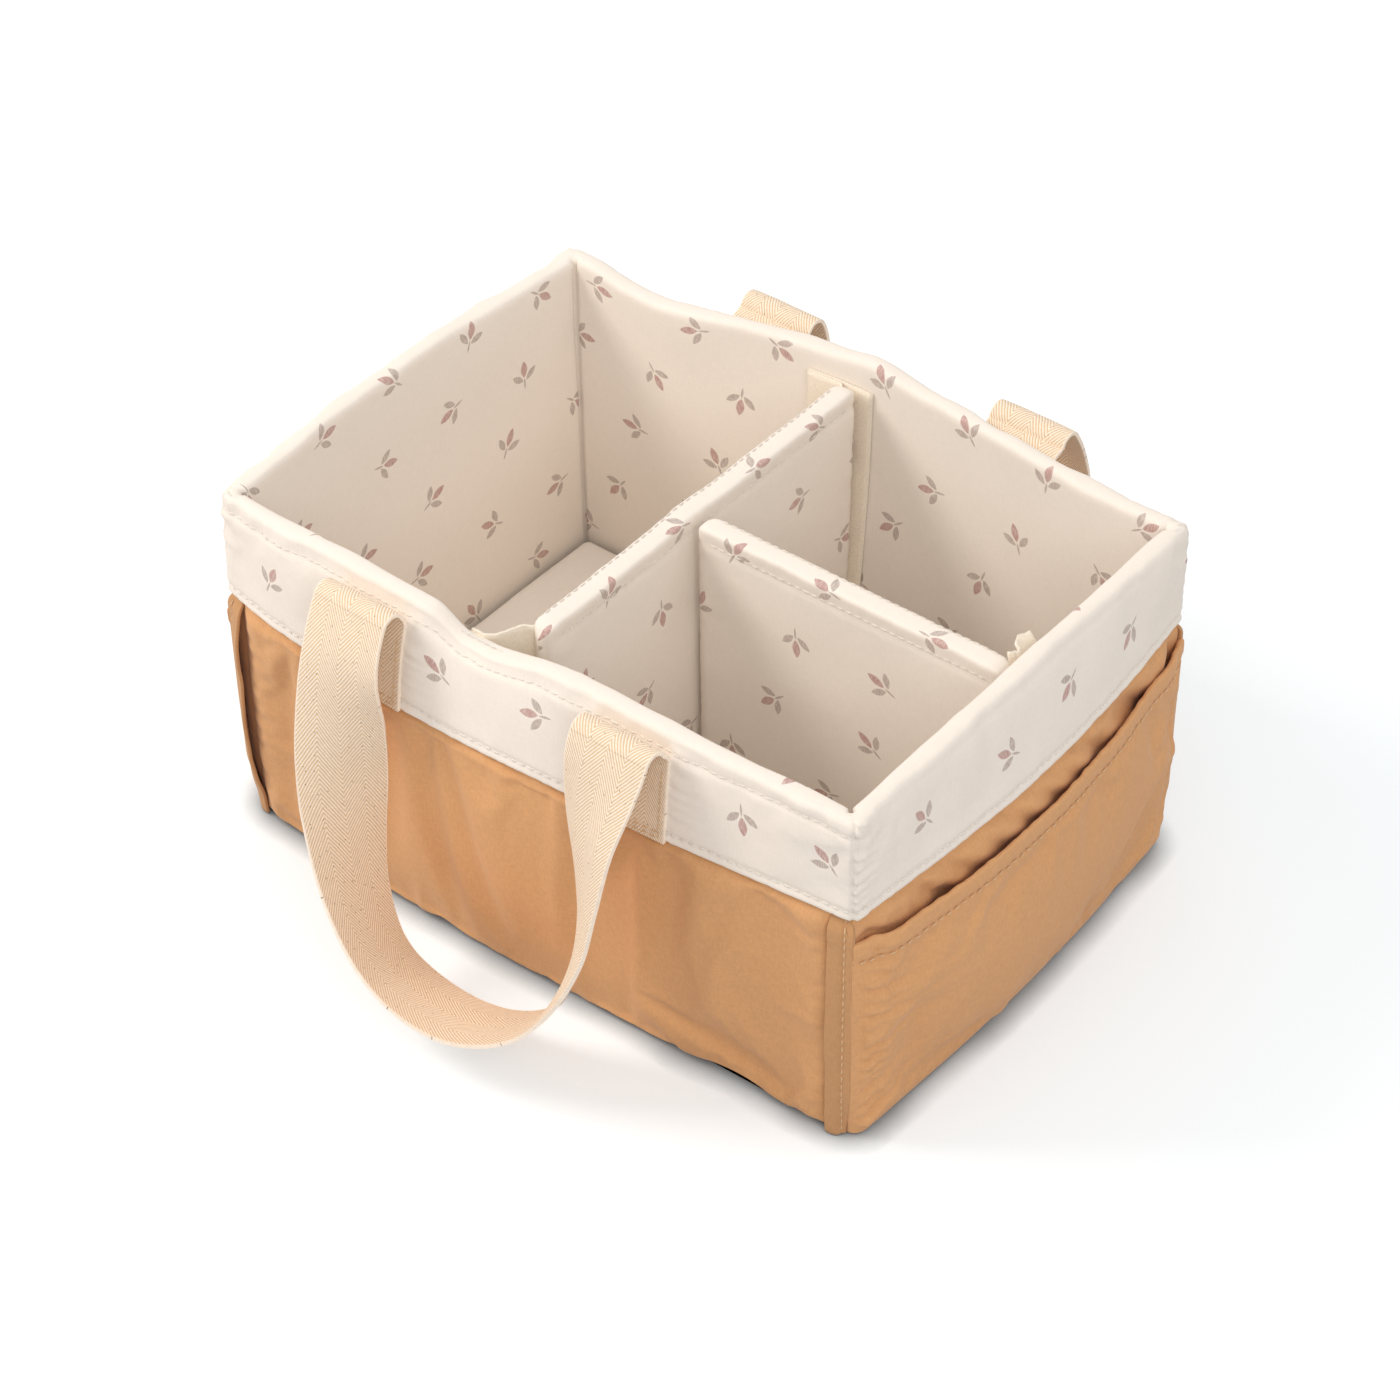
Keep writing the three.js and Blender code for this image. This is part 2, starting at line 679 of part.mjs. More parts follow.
// Pockets: a sheet on each end wall that gapes at its mouth
function pocket(side, wall) {
  const stations = wall.stations.filter(({ turn }) => turn === 0);
  const heights = [wallFoot, ...lowRows, pocketHeight];
  const gapeAt = (s, z) => {
    const across = Math.cos((Math.PI * s) / (2 * (wall.half - cornerRadius)));
    return pocketGape * Math.max(0, across) * Math.pow(z / pocketHeight, 2);
  };
  const profile = sheetProfile(0, pocketCloth, heights);
  const sections = stations.map((station) => profile.map(([depth, z, swelling]) => (
    wallPoint(wall, station, depth - gapeAt(station.s, z), z, swelling)
  )));
  piece(`${side}_pocket`, loft(sections), colours.tan, roughness.cloth);
}
pocket('right', walls.right);
pocket('left', walls.left);

// Handles. The sewn ends lie on the cuff, and the loop folds over their tops and hangs outside.
const endHeights = [cuffFoot, cuffMiddle, cuffTop];
const endOutside = -seamGap - webbing;
function sewnEnd(name, wall, s) {
  const stations = [s - halfWebbing, s + halfWebbing].map((at) => ({ s: at, turn: 0 }));
  const profile = sheetProfile(endOutside, -seamGap, endHeights);
  piece(name, wallLoft(wall, stations, profile), colours.webbing, roughness.cloth);
}

// Where the fold's axis lies outside a wall, so that the turning fold clears the sewn ends at every height
function foldReach(wall, centres) {
  const ring = foldRadius + webbing / 2 + seamGap;
  let reach = 0;
  for (const s of edgesOf(centres, halfWebbing)) {
    const points = endHeights.map((z) => wallPoint(wall, { s, turn: 0 }, endOutside, z, 1));
    for (const point of points) {
      const under = foldHeight - point.z;
      if (under < ring) reach = Math.max(reach, Math.abs(point.y) + Math.sqrt(ring * ring - under * under));
    }
    for (let i = 0; i + 1 < points.length; i += 1) {
      const [low, high] = [points[i], points[i + 1]];
      const rise = high.z - low.z;
      const flare = Math.abs(low.y) - Math.abs(high.y);
      const slant = Math.hypot(rise, flare);
      const touch = foldHeight - (ring * flare) / slant;
      const atFold = Math.abs(high.y) - (flare * (foldHeight - high.z)) / rise;
      if (touch >= low.z && touch <= high.z) reach = Math.max(reach, atFold + (ring * slant) / rise);
    }
  }
  return reach;
}

// The loop's way from its left fold to its right one, as shares: across between the sewn ends, out from the
// fold, and down; then how far its width has turned in plan and dips, in degrees
const loopShares = [
  [0.013, 0.35, 0.12, 4, 0],
  [0.016, 0.42, 0.3, 25, 0],
  [0.027, 0.5, 0.48, 50, -5],
  [0.07, 0.64, 0.65, 74, -11],
  [0.151, 0.82, 0.81, 89, -19],
  [0.285, 0.96, 0.94, 96, -22],
  [0.477, 1, 1, 94, -18],
  [0.68, 0.96, 0.99, 94, -17],
  [0.854, 0.82, 0.91, 98, -17],
  [0.937, 0.66, 0.76, 113, -9],
  [0.975, 0.53, 0.58, 130, -4],
  [0.982, 0.45, 0.4, 142, -3],
  [0.984, 0.37, 0.22, 156, -2],
];
const foldSteps = 5;
const loopSteps = 32;
// Places across the webbing, as shares of its half width
const acrossShares = [-1, -1 / 2, 0, 1 / 2, 1];

function handleLoop(name, side, wall, centre) {
  const axisY = -foldReach(wall, endPlaces(side).map((x) => x * wall.along[0]));
  const left = -handleSpread / 2;
  const middles = [];
  const widths = [];
  const foldPoint = (x, degrees) => {
    const turn = THREE.MathUtils.degToRad(degrees);
    return new THREE.Vector3(x, axisY + foldRadius * Math.cos(turn), foldHeight + foldRadius * Math.sin(turn));
  };
  const across = new THREE.Vector3(1, 0, 0);
  const knots = [{ middle: foldPoint(left, foldTurnDegrees), width: across }];
  for (const [along, out, down, turn, dip] of loopShares) {
    const [plan, tilt] = [turn, dip].map(THREE.MathUtils.degToRad);
    const middle = new THREE.Vector3(left + along * handleSpread, axisY - out * handleReach, foldHeight - down * handleDrop);
    const width = new THREE.Vector3(Math.cos(plan) * Math.cos(tilt), Math.sin(plan) * Math.cos(tilt), Math.sin(tilt));
    knots.push({ middle, width });
  }
  knots.push({ middle: foldPoint(-left, foldTurnDegrees), width: across.clone().negate() });
  const edges = [-1, 1].map((way) => new THREE.CatmullRomCurve3(
    knots.map(({ middle, width }) => middle.clone().addScaledVector(width, way * halfWebbing)),
  ));
  for (let i = 0; i < foldSteps; i += 1) {
    middles.push(foldPoint(left, (foldTurnDegrees * i) / foldSteps));
    widths.push(across);
  }
  for (let i = 0; i <= loopSteps; i += 1) {
    const [one, other] = edges.map((edge) => edge.getPoint(i / loopSteps));
    middles.push(one.clone().add(other).divideScalar(2));
    widths.push(other.clone().sub(one).normalize());
  }
  for (let i = foldSteps - 1; i >= 0; i -= 1) {
    middles.push(foldPoint(-left, (foldTurnDegrees * i) / foldSteps));
    widths.push(across.clone().negate());
  }
  const sections = middles.map((middle, i) => {
    const before = middles[Math.max(0, i - 1)];
    const after = middles[Math.min(middles.length - 1, i + 1)];
    const face = after.clone().sub(before).cross(widths[i]).normalize();
    const corner = (w, t) => middle.clone()
      .addScaledVector(widths[i], w * halfWebbing)
      .addScaledVector(face, (t * webbing) / 2);
    return [...acrossShares.map((w) => corner(w, -1)), ...acrossShares.map((w) => corner(-w, 1))];
  });
  const mesh = piece(name, loft(sections), colours.webbing, roughness.cloth);
  mesh.position.set(centre, 0, 0);
  if (side === 'back') mesh.rotation.z = Math.PI;
}

for (const side of ['front', 'back']) {
  const wall = walls[side];
  const [left, right] = endPlaces(side);
  sewnEnd(`${side}_handle_left_end`, wall, left * wall.along[0]);
  sewnEnd(`${side}_handle_right_end`, wall, right * wall.along[0]);
  handleLoop(`${side}_handle`, side, wall, handlePlaces[side]);
}

export default group;
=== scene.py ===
"""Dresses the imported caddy: printed cotton lining and cuff, canvas walls with bindings and pockets,
herringbone webbing handles, a padded T-shaped divider, hook and loop tape, stitching, and the studio.

Metres throughout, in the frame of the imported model: X along the long side, Y from front to back, Z up.
"""
import json
import math

import bmesh
import bpy
from bpy.props import FloatProperty, FloatVectorProperty, PointerProperty
from mathutils import Matrix, Vector, noise


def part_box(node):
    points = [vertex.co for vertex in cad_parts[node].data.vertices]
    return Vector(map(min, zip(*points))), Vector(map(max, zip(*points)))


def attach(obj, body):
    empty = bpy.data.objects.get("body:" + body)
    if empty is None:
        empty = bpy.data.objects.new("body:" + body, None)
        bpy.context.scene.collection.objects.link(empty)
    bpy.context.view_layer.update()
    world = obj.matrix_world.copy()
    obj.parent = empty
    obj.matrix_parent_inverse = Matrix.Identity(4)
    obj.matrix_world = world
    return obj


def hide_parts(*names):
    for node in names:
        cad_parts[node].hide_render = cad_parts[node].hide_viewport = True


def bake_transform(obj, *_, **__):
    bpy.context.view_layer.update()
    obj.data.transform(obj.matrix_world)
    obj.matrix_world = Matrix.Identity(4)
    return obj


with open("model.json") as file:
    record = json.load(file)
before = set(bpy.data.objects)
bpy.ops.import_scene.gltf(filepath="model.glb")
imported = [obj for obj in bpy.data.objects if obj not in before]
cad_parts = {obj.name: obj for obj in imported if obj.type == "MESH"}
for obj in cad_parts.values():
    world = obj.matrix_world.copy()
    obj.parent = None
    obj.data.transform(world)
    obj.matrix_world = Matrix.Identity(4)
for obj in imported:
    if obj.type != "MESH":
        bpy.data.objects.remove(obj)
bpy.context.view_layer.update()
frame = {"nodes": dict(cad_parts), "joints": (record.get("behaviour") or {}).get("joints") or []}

bl_info = {
    "name": "Diaper Caddy",
    "version": (1, 0, 0),
    "blender": (4, 5, 0),
    "location": "View3D > Sidebar > Caddy",
    "description": "Builds the cloth, webbing, padding and stitching of a diaper caddy over its packed frame",
    "category": "Add Mesh",
}

MM = 0.001
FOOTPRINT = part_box("base_lining")
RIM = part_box("right_lining")


# Colours

def linear(hex_colour):
    """Linear RGBA of an sRGB hex colour."""
    channels = [int(hex_colour[i:i + 2], 16) / 255 for i in (1, 3, 5)]
    return [c / 12.92 if c <= 0.04045 else ((c + 0.055) / 1.055) ** 2.4 for c in channels] + [1.0]


def colour_property(name, description, hex_colour):
    return FloatVectorProperty(name=name, description=description, subtype="COLOR", size=4, min=0, max=1,
                               default=linear(hex_colour))


class CaddySizes(bpy.types.PropertyGroup):
    length: FloatProperty(name="Length", description="Outside length at the rim", default=0.350, unit="LENGTH")
    depth: FloatProperty(name="Depth", description="Outside depth at the rim", default=0.244, unit="LENGTH")
    height: FloatProperty(name="Height", description="Height of the rim", default=RIM[1][2], unit="LENGTH")
    corner: FloatProperty(name="Corner radius", description="Radius of the upright outer corners",
                          default=10 * MM, unit="LENGTH")
    wall: FloatProperty(name="Wall", description="Thickness of the padded wall at its rim",
                        default=9.9 * MM, unit="LENGTH")
    cuff_foot: FloatProperty(name="Cuff foot", description="Height of the turned-out cuff's lower edge",
                             default=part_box("right_cuff")[0][2], unit="LENGTH")
    topstitch: FloatProperty(name="Topstitch drop", description="Distance of the topstitching under the rim",
                             default=7.5 * MM, unit="LENGTH")
    pocket_height: FloatProperty(name="Pocket height", description="Height of the pocket mouths",
                                 default=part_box("right_pocket")[1][2], unit="LENGTH")
    webbing: FloatProperty(name="Webbing", description="Width of the handle webbing", default=40 * MM,
                           unit="LENGTH")
    stitch: FloatProperty(name="Stitch", description="Length of one stitch", default=3.4 * MM, unit="LENGTH")


class CaddyColours(bpy.types.PropertyGroup):
    canvas: colour_property("Canvas", "Cotton canvas of the outside", "#DAA472")
    cotton: colour_property("Cotton", "Ground of the printed cotton lining", "#F1E7DC")
    rose: colour_property("Rose", "Dusty rose of the print", "#BC938C")
    taupe: colour_property("Taupe", "Taupe of the print", "#B9A9A0")
    webbing: colour_property("Webbing", "Unbleached cotton webbing", "#F8E8D6")
    tape: colour_property("Tape", "Hook and loop tape", "#FCEFDC")


def sizes():
    return bpy.context.scene.caddy_sizes


def colours():
    return bpy.context.scene.caddy_colours


# Materials

def add(tree, kind, values=None, links=None, **settings):
    """Adds one node: values set its sockets, links join other nodes' outputs to them."""
    node = tree.nodes.new(kind)
    for key, value in settings.items():
        setattr(node, key, value)
    for key, value in (values or {}).items():
        node.inputs[key].default_value = value
    for key, output in (links or {}).items():
        tree.links.new(output, node.inputs[key])
    return node


def new_material(name):
    material = bpy.data.materials.new(name)
    material.use_nodes = True
    material.node_tree.nodes.clear()
    return material, material.node_tree


def maths(tree, operation, *operands):
    """A Math node fed with numbers or outputs in turn; returns its output."""
    node = add(tree, "ShaderNodeMath", operation=operation)
    for i, operand in enumerate(operands):
        if isinstance(operand, (int, float)):
            node.inputs[i].default_value = operand
        else:
            tree.links.new(operand, node.inputs[i])
    return node.outputs[0]


def times(tree, one, other):
    return maths(tree, "MULTIPLY", one, other)


def plus(tree, one, other):
    return maths(tree, "ADD", one, other)


def minus(tree, one, other):
    return maths(tree, "SUBTRACT", one, other)


def spread(tree, value, low, high, start=0.0, end=1.0, **settings):
    """Spreads a value that runs from low to high over start to end."""
    return add(tree, "ShaderNodeMapRange", {1: low, 2: high, 3: start, 4: end}, {0: value}, **settings).outputs[0]


def cloth_coordinates(tree):
    """The piece's own UV map, laid out in metres along and across its cloth."""
    uv = add(tree, "ShaderNodeUVMap", uv_map="cloth")
    parts = add(tree, "ShaderNodeSeparateXYZ", links={0: uv.outputs[0]})
    return uv.outputs[0], parts.outputs[0], parts.outputs[1]


def own_place(tree):
    return add(tree, "ShaderNodeTexCoord").outputs["Object"]


def cloudy(tree, place, size, detail, roughness=0.5, dimensions="2D"):
    """Noise in lumps of about the given size."""
    return add(tree, "ShaderNodeTexNoise", {"Scale": 1 / size, "Detail": detail, "Roughness": roughness},
               {"Vector": place}, noise_dimensions=dimensions).outputs[0]


def streaks(tree, uv, across, along, roughness):
    """Noise drawn out into streaks of the given width and length."""
    mapping = add(tree, "ShaderNodeMapping", {"Scale": (1 / across, 1 / along, 1)}, {"Vector": uv})
    return cloudy(tree, mapping.outputs[0], 1.0, 2.0, roughness)


def yarns(tree, uv, pitch, length):
    """Slubs of warp and weft: one pitch across and one length along."""
    warp, weft = streaks(tree, uv, pitch, length, 0.6), streaks(tree, uv, length, pitch, 0.6)
    return times(tree, plus(tree, warp, weft), 0.5)


def mixed(tree, factor, first, second, blend="MIX"):
    """A colour mix; first and second are colours or outputs."""
    node = add(tree, "ShaderNodeMix", data_type="RGBA", blend_type=blend)
    for socket, value in ((0, factor), (6, first), (7, second)):
        if hasattr(value, "is_linked"):
            tree.links.new(value, node.inputs[socket])
        else:
            node.inputs[socket].default_value = value
    return node.outputs[2]


def tones(tree, factor, base, dark, light):
    """One colour between a darker and a lighter share of itself."""
    return mixed(tree, factor, *([c * share for c in base[:3]] + [1.0] for share in (dark, light)))


def finish_cloth(tree, colour, height, depth, roughness, sheen):
    """Cloth has no gloss to speak of: a rough shader, a little sheen from loose fibres, and the weave as bump."""
    bump = add(tree, "ShaderNodeBump", {"Strength": 1.0, "Distance": depth}, {"Height": height})
    shader = add(tree, "ShaderNodeBsdfPrincipled",
                 {"Roughness": roughness, "Sheen Weight": sheen, "Sheen Roughness": 0.5, "IOR": 1.45,
                  "Specular IOR Level": 0.25},
                 {"Base Color": colour, "Normal": bump.outputs[0]})
    add(tree, "ShaderNodeOutputMaterial", links={"Surface": shader.outputs[0]})


def canvas_material(name, shade):
    """Cotton canvas, plain weave of 0.5 mm yarns, piece dyed: matt, faintly slubbed, lighter on worn high spots.
    The weave is drawn at 0.9 mm, the finest that shows."""
    material, tree = new_material(name)
    uv, _, _ = cloth_coordinates(tree)
    slub = yarns(tree, uv, 0.9 * MM, 4 * MM)
    tone = plus(tree, times(tree, slub, 0.85), times(tree, cloudy(tree, uv, 45 * MM, 3.0), 0.15))
    # A shade under 1 gives a darker copy of the canvas; for the binding that is partly painted shade
    base = [c * shade for c in colours().canvas[:3]]
    colour = tones(tree, spread(tree, tone, 0.35, 0.65), base, 0.93, 1.06)
    finish_cloth(tree, colour, slub, 0.12 * MM, 0.88, 0.12)
    return material


def leaf(tree, x, y, centre, degrees, half_width, half_length):
    """1 inside one leaf of the print and 0 outside it, in millimetres from the sprig's middle."""
    cos, sin = math.cos(math.radians(degrees)), math.sin(math.radians(degrees))
    across, up = minus(tree, x, centre[0]), minus(tree, y, centre[1])
    side = plus(tree, times(tree, across, cos), times(tree, up, sin))
    along = minus(tree, times(tree, up, cos), times(tree, across, sin))
    along = maths(tree, "DIVIDE", along, half_length)
    # A leaf narrows towards both tips, so its half width shrinks with the square of the way along it
    width = maths(tree, "MAXIMUM", minus(tree, 1, times(tree, along, along)), 0.001)
    edge = maths(tree, "DIVIDE", maths(tree, "ABSOLUTE", side), times(tree, width, half_width))
    far = maths(tree, "MAXIMUM", edge, maths(tree, "ABSOLUTE", along))
    return spread(tree, far, 1.12, 0.85, interpolation_type="SMOOTHSTEP")


# Leaves of the sprig: middle, turn in degrees, half width and half length, all in millimetres
SPRIG = {
    "middle": ((0, 3.4), 0, 2.1, 4.9),
    "left": ((-4.3, -0.6), 50, 1.8, 4.3),
    "right": ((4.3, -0.6), -50, 1.8, 4.3),
    "stem": ((0, -5.0), 0, 0.6, 3.4),
}
SPRIG_CELL = (50 * MM, 38 * MM)
SPRIG_SHIFT = 0.22
ROW_SHIFT = 0.37


def sprigs(tree, uv, x, y, ground):
    """The print: a small sprig of three brushed leaves, one to a cell, each shifted and turned its own way."""
    up = maths(tree, "DIVIDE", y, SPRIG_CELL[1])
    row = maths(tree, "FLOOR", up)
    stagger = times(tree, maths(tree, "FLOORED_MODULO", row, 3), ROW_SHIFT)
    across = plus(tree, maths(tree, "DIVIDE", x, SPRIG_CELL[0]), stagger)
    column = maths(tree, "FLOOR", across)
    place = add(tree, "ShaderNodeCombineXYZ", links={0: column, 1: row}).outputs[0]
    chance = add(tree, "ShaderNodeTexWhiteNoise", links={"Vector": place}, noise_dimensions="2D")
    chances = add(tree, "ShaderNodeSeparateColor", links={0: chance.outputs["Color"]}).outputs
    local = {}
    for axis, (at, start) in enumerate(((across, column), (up, row))):
        shift = times(tree, minus(tree, chances[axis], 0.5), SPRIG_SHIFT)
        off_middle = minus(tree, minus(tree, at, start), plus(tree, shift, 0.5))
        local[axis] = times(tree, off_middle, SPRIG_CELL[axis] / MM)
    local = add(tree, "ShaderNodeCombineXYZ", links=local)
    turned = add(tree, "ShaderNodeVectorRotate", rotation_type="Z_AXIS", links={
        "Vector": local.outputs[0], "Angle": times(tree, chances[2], math.tau)})
    parts = add(tree, "ShaderNodeSeparateXYZ", links={0: turned.outputs[0]}).outputs
    ink = spread(tree, streaks(tree, uv, 0.5 * MM, 3 * MM, 0.5), 0.3, 0.6, 0.55, 0.95)
    leaves = {name: leaf(tree, parts[0], parts[1], *shape) for name, shape in SPRIG.items()}
    sides = maths(tree, "MAXIMUM", leaves["left"], leaves["right"])
    sides = maths(tree, "MAXIMUM", sides, leaves["stem"])
    colour = mixed(tree, times(tree, sides, ink), ground, list(colours().taupe))
    return mixed(tree, times(tree, leaves["middle"], ink), colour, list(colours().rose))


def poplin_material(name, printed):
    """Cotton poplin, screen printed in two soft inks or left plain: smooth, matt, warm white, yarns barely seen."""
    material, tree = new_material(name)
    uv, x, y = cloth_coordinates(tree)
    # The plain cloth is a shade lighter, with no print to dull it
    ground = colours().cotton if printed else linear("#FBF2E8")
    slub = yarns(tree, uv, 0.8 * MM, 6 * MM)
    colour = tones(tree, spread(tree, slub, 0.35, 0.65), ground, 0.975, 1.015)
    if printed:
        colour = sprigs(tree, uv, x, y, colour)
    finish_cloth(tree, colour, slub, 0.06 * MM, 0.82, 0.1)
    return material


def webbing_material():
    """Cotton webbing in herringbone twill: ribs slant one way and back in four columns across the strap,
    unbleached, with seed flecks left in the yarn and a plain selvedge. The ribs are 1.1 mm apart and drawn at 2.2 mm,
    the finest that shows."""
    material, tree = new_material("herringbone_cotton_webbing")
    uv, across, along = cloth_coordinates(tree)
    zigzag = maths(tree, "PINGPONG", across, sizes().webbing / 4)
    slant = plus(tree, times(tree, zigzag, 1.45), along)
    slant = plus(tree, slant, times(tree, cloudy(tree, uv, 7 * MM, 2.0), 0.8 * MM))
    phase = times(tree, slant, math.tau / (2.2 * MM))
    rib = plus(tree, times(tree, maths(tree, "SINE", phase), 0.5), 0.5)
    yarn = yarns(tree, uv, 0.6 * MM, 4 * MM)
    from_edge = maths(tree, "PINGPONG", across, sizes().webbing / 2)
    woven = spread(tree, from_edge, 0.2 * MM, 0.9 * MM)
    groove = maths(tree, "MAXIMUM", spread(tree, rib, 0.0, 0.7), minus(tree, 1, woven))
    colour = tones(tree, spread(tree, yarn, 0.35, 0.65), colours().webbing, 0.93, 1.05)
    colour = mixed(tree, groove, mixed(tree, 1.0, colour, linear("#E2CCA9"), "MULTIPLY"), colour)
    fleck = add(tree, "ShaderNodeTexVoronoi", {"Scale": 1 / (5 * MM)}, {"Vector": uv}, voronoi_dimensions="2D")
    near = maths(tree, "LESS_THAN", fleck.outputs["Distance"], 0.06)
    chance = add(tree, "ShaderNodeSeparateColor", links={0: fleck.outputs["Color"]}).outputs[0]
    picked = times(tree, near, maths(tree, "GREATER_THAN", chance, 0.62))
    colour = mixed(tree, times(tree, picked, 0.7), colour, linear("#7A5A38"))
    finish_cloth(tree, colour, plus(tree, times(tree, rib, woven), times(tree, yarn, 0.5)), 0.16 * MM, 0.9, 0.15)
    return material


def tape_material():
    """Brushed loop tape: a pile of fine raised loops, so it is soft edged, speckled and slightly yellow."""
    material, tree = new_material("brushed_loop_tape")
    fuzz = cloudy(tree, cloth_coordinates(tree)[0], 1.3 * MM, 6.0, 0.75)
    colour = tones(tree, spread(tree, fuzz, 0.3, 0.7), colours().tape, 0.88, 1.03)
    finish_cloth(tree, colour, fuzz, 0.3 * MM, 0.95, 0.3)
    return material


def thread_material(name, hex_colour):
    """Spun polyester thread: two plies twisted together, which show as slanting light and dark."""
    material, tree = new_material(name)
    plies = add(tree, "ShaderNodeTexWave", {"Scale": 1 / (2.2 * MM), "Distortion": 1.5, "Detail": 2.0},
                {"Vector": own_place(tree)}, bands_direction="DIAGONAL").outputs[1]
    finish_cloth(tree, tones(tree, plies, linear(hex_colour), 0.86, 1.04), plies, 0.15 * MM, 0.7, 0.1)
    return material


def foam_material():
    """Polyester wadding and foam: open, springy, matt white with fine cells."""
    material, tree = new_material("polyester_wadding")
    cells = add(tree, "ShaderNodeTexVoronoi", {"Scale": 1 / (2.5 * MM)}, {"Vector": own_place(tree)})
    cells = cells.outputs["Distance"]
    finish_cloth(tree, mixed(tree, cells, linear("#F6F4EF"), linear("#E4E0D8")), cells, 0.4 * MM, 0.95, 0.2)
    return material


def board_material():
    """Grey-brown bookbinder's board: pressed paper pulp, matt, mottled with darker fibres."""
    material, tree = new_material("pressed_paper_board")
    pulp = cloudy(tree, own_place(tree), 3 * MM, 6.0, dimensions="3D")
    finish_cloth(tree, mixed(tree, pulp, linear("#B8AB94"), linear("#D3C8B4")), pulp, 0.2 * MM, 0.85, 0.0)
    return material


MAKERS = {
    "canvas": lambda: canvas_material("dyed_cotton_canvas", 1.0),
    # The binding is the canvas at 0.8 of its brightness: partly a darker tape, partly painted shade of the puffed
    # panels beside it
    "binding": lambda: canvas_material("binding_canvas_darker_and_painted_shade", 0.8),
    "printed": lambda: poplin_material("printed_cotton_poplin", True),
    "plain": lambda: poplin_material("plain_cotton_poplin", False),
    "webbing": webbing_material,
    "tape": tape_material,
    "white_thread": lambda: thread_material("ivory_polyester_thread", "#F2EADF"),
    "tan_thread": lambda: thread_material("tan_polyester_thread", "#E3BE93"),
    "foam": foam_material,
    "board": board_material,
}
MADE = {}


def material_of(kind):
    if kind not in MADE:
        MADE[kind] = MAKERS[kind]()
    return MADE[kind]


# Walls: the surface that every layer of cloth follows

class Wall:
    """One wall in plan: the way it runs, the way it faces, half its length and how far out its rim lies.

    Its padding swells, fullest at its middle or, with a skew under 1, nearer its start. bow(s) pushes the rim out and
    sag(s) lets it down at a place.
    """

    def __init__(self, name, along, out, half, reach, swell, bow, skew=1.0, sag=lambda s: 0.0):
        self.name = name
        self.along = Vector(along)
        self.out = Vector(out)
        self.half = half
        self.reach = reach
        self.swell = swell
        self.skew = skew
        self.bow = bow
        self.sag = sag
        self.straight = half - sizes().corner


def clamped(x):
    return min(1.0, max(0.0, x))


def bell(x, width):
    """1 at 0, falling away on both sides."""
    return math.exp(-(x / width) ** 2)


def decay(x, reach):
    """1 at 0, falling away from there."""
    return math.exp(-x / reach)


def hump(at, place, before, after):
    """1 at the place, falling to 0 at the given reach on each side."""
    away = at - place
    share = min(1.0, abs(away) / (before if away < 0 else after))
    return (1 + math.cos(math.pi * share)) / 2


def smooth(low, high, x):
    t = clamped((x - low) / (high - low))
    return t * t * (3 - 2 * t)


def make_walls():
    size = sizes()
    half_length, half_depth = size.length / 2, size.depth / 2
    reach = half_length - size.corner
    return [
        Wall("front", (1, 0, 0), (0, -1, 0), half_length, half_depth, swell=14 * MM, skew=0.7,
             bow=lambda s: 3 * MM * math.cos(math.pi * s / size.length)),
        Wall("right", (0, 1, 0), (1, 0, 0), half_depth, half_length, swell=11 * MM, bow=lambda s: 0.0),
        Wall("back", (-1, 0, 0), (0, 1, 0), half_length, half_depth, swell=10 * MM,
             bow=lambda s: 14 * MM * hump(s, 10 * MM, reach, reach * 2 / 3),
             sag=lambda s: 5 * MM * hump(s, reach * 3 / 4, reach / 3, reach / 4)),
        Wall("left", (0, -1, 0), (-1, 0, 0), half_depth, half_length, swell=9 * MM,
             bow=lambda s: 7 * MM * math.cos(math.pi * s / size.depth)),
    ]


def swell_at(wall, s, z):
    """How far the padding pushes the outside out: fullest at mid height, a little at the foot, none at the rim."""
    spring = sizes().height - sizes().wall / 2
    up = clamped(z / spring)
    across = clamped((s / wall.half + 1) / 2)
    side = math.sin(math.pi * across ** wall.skew)
    rise = max(0.0, math.sin(math.pi * up ** 0.85)) ** 0.6
    return wall.swell * max(0.0, side) * (rise + 0.3 * (1 - up))


# Beside the divider's front tab the rim is pressed down, steeply on the tab's left: place, reach before and after it
NOTCH_DEPTH = 9 * MM
NOTCH_SPAN = (-27 * MM, 23 * MM, 62 * MM)


def wall_point(wall, s, turn, depth, z, swelling=1.0, push=0.0):
    """A point of a wall. turn is the angle round a corner, from -45 to 45 degrees; push moves it outwards."""
    size = sizes()
    high = clamped(z / size.height)
    lean = math.sin(math.pi / 2 * high)
    fade = max(0.0, math.cos(2 * turn))
    out = wall.bow(s) * lean * fade + swelling * swell_at(wall, s, z) * fade
    round_off = max(0.1 * MM, size.corner - depth) + push
    # Folded cloth makes the outer corners sharper than the rounded padding inside, but rounder at the foot
    sharp = 1.4 * smooth(0, 32 * MM, z) - 0.55
    round_off += sharp * max(0.0, size.corner - depth) * (1 / math.cos(turn) - 1)
    x = s + round_off * math.sin(turn)
    y = wall.reach - size.corner + (round_off if turn else size.corner - depth + push) * math.cos(turn) + out
    drop = wall.sag(s) * high ** 2
    if wall.name == "front":
        drop += NOTCH_DEPTH * hump(s, *NOTCH_SPAN) * high ** 9
    return wall.along * x + wall.out * y + Vector((0, 0, z - drop))


def wall_columns(wall, step):
    """Places along a wall with the length run so far: round half a corner, straight on, round half a corner."""
    size = sizes()
    columns = []
    run = 0.0
    # Columns crowd towards the corner seam, so that it can be sharp
    shares = (1.0, 0.95, 0.87, 0.74, 0.55, 0.3)
    arc = size.corner * math.pi / 4
    for share, following in zip(shares, shares[1:] + (0.0,)):
        columns.append((-wall.straight, -math.pi / 4 * share, run))
        run += arc * (share - following)
    count = max(1, round(2 * wall.straight / step))
    for i in range(count + 1):
        columns.append((-wall.straight + 2 * wall.straight * i / count, 0.0, run + 2 * wall.straight * i / count))
    run += 2 * wall.straight
    for share in reversed(shares):
        columns.append((wall.straight, math.pi / 4 * share, run + arc * share))
    return columns


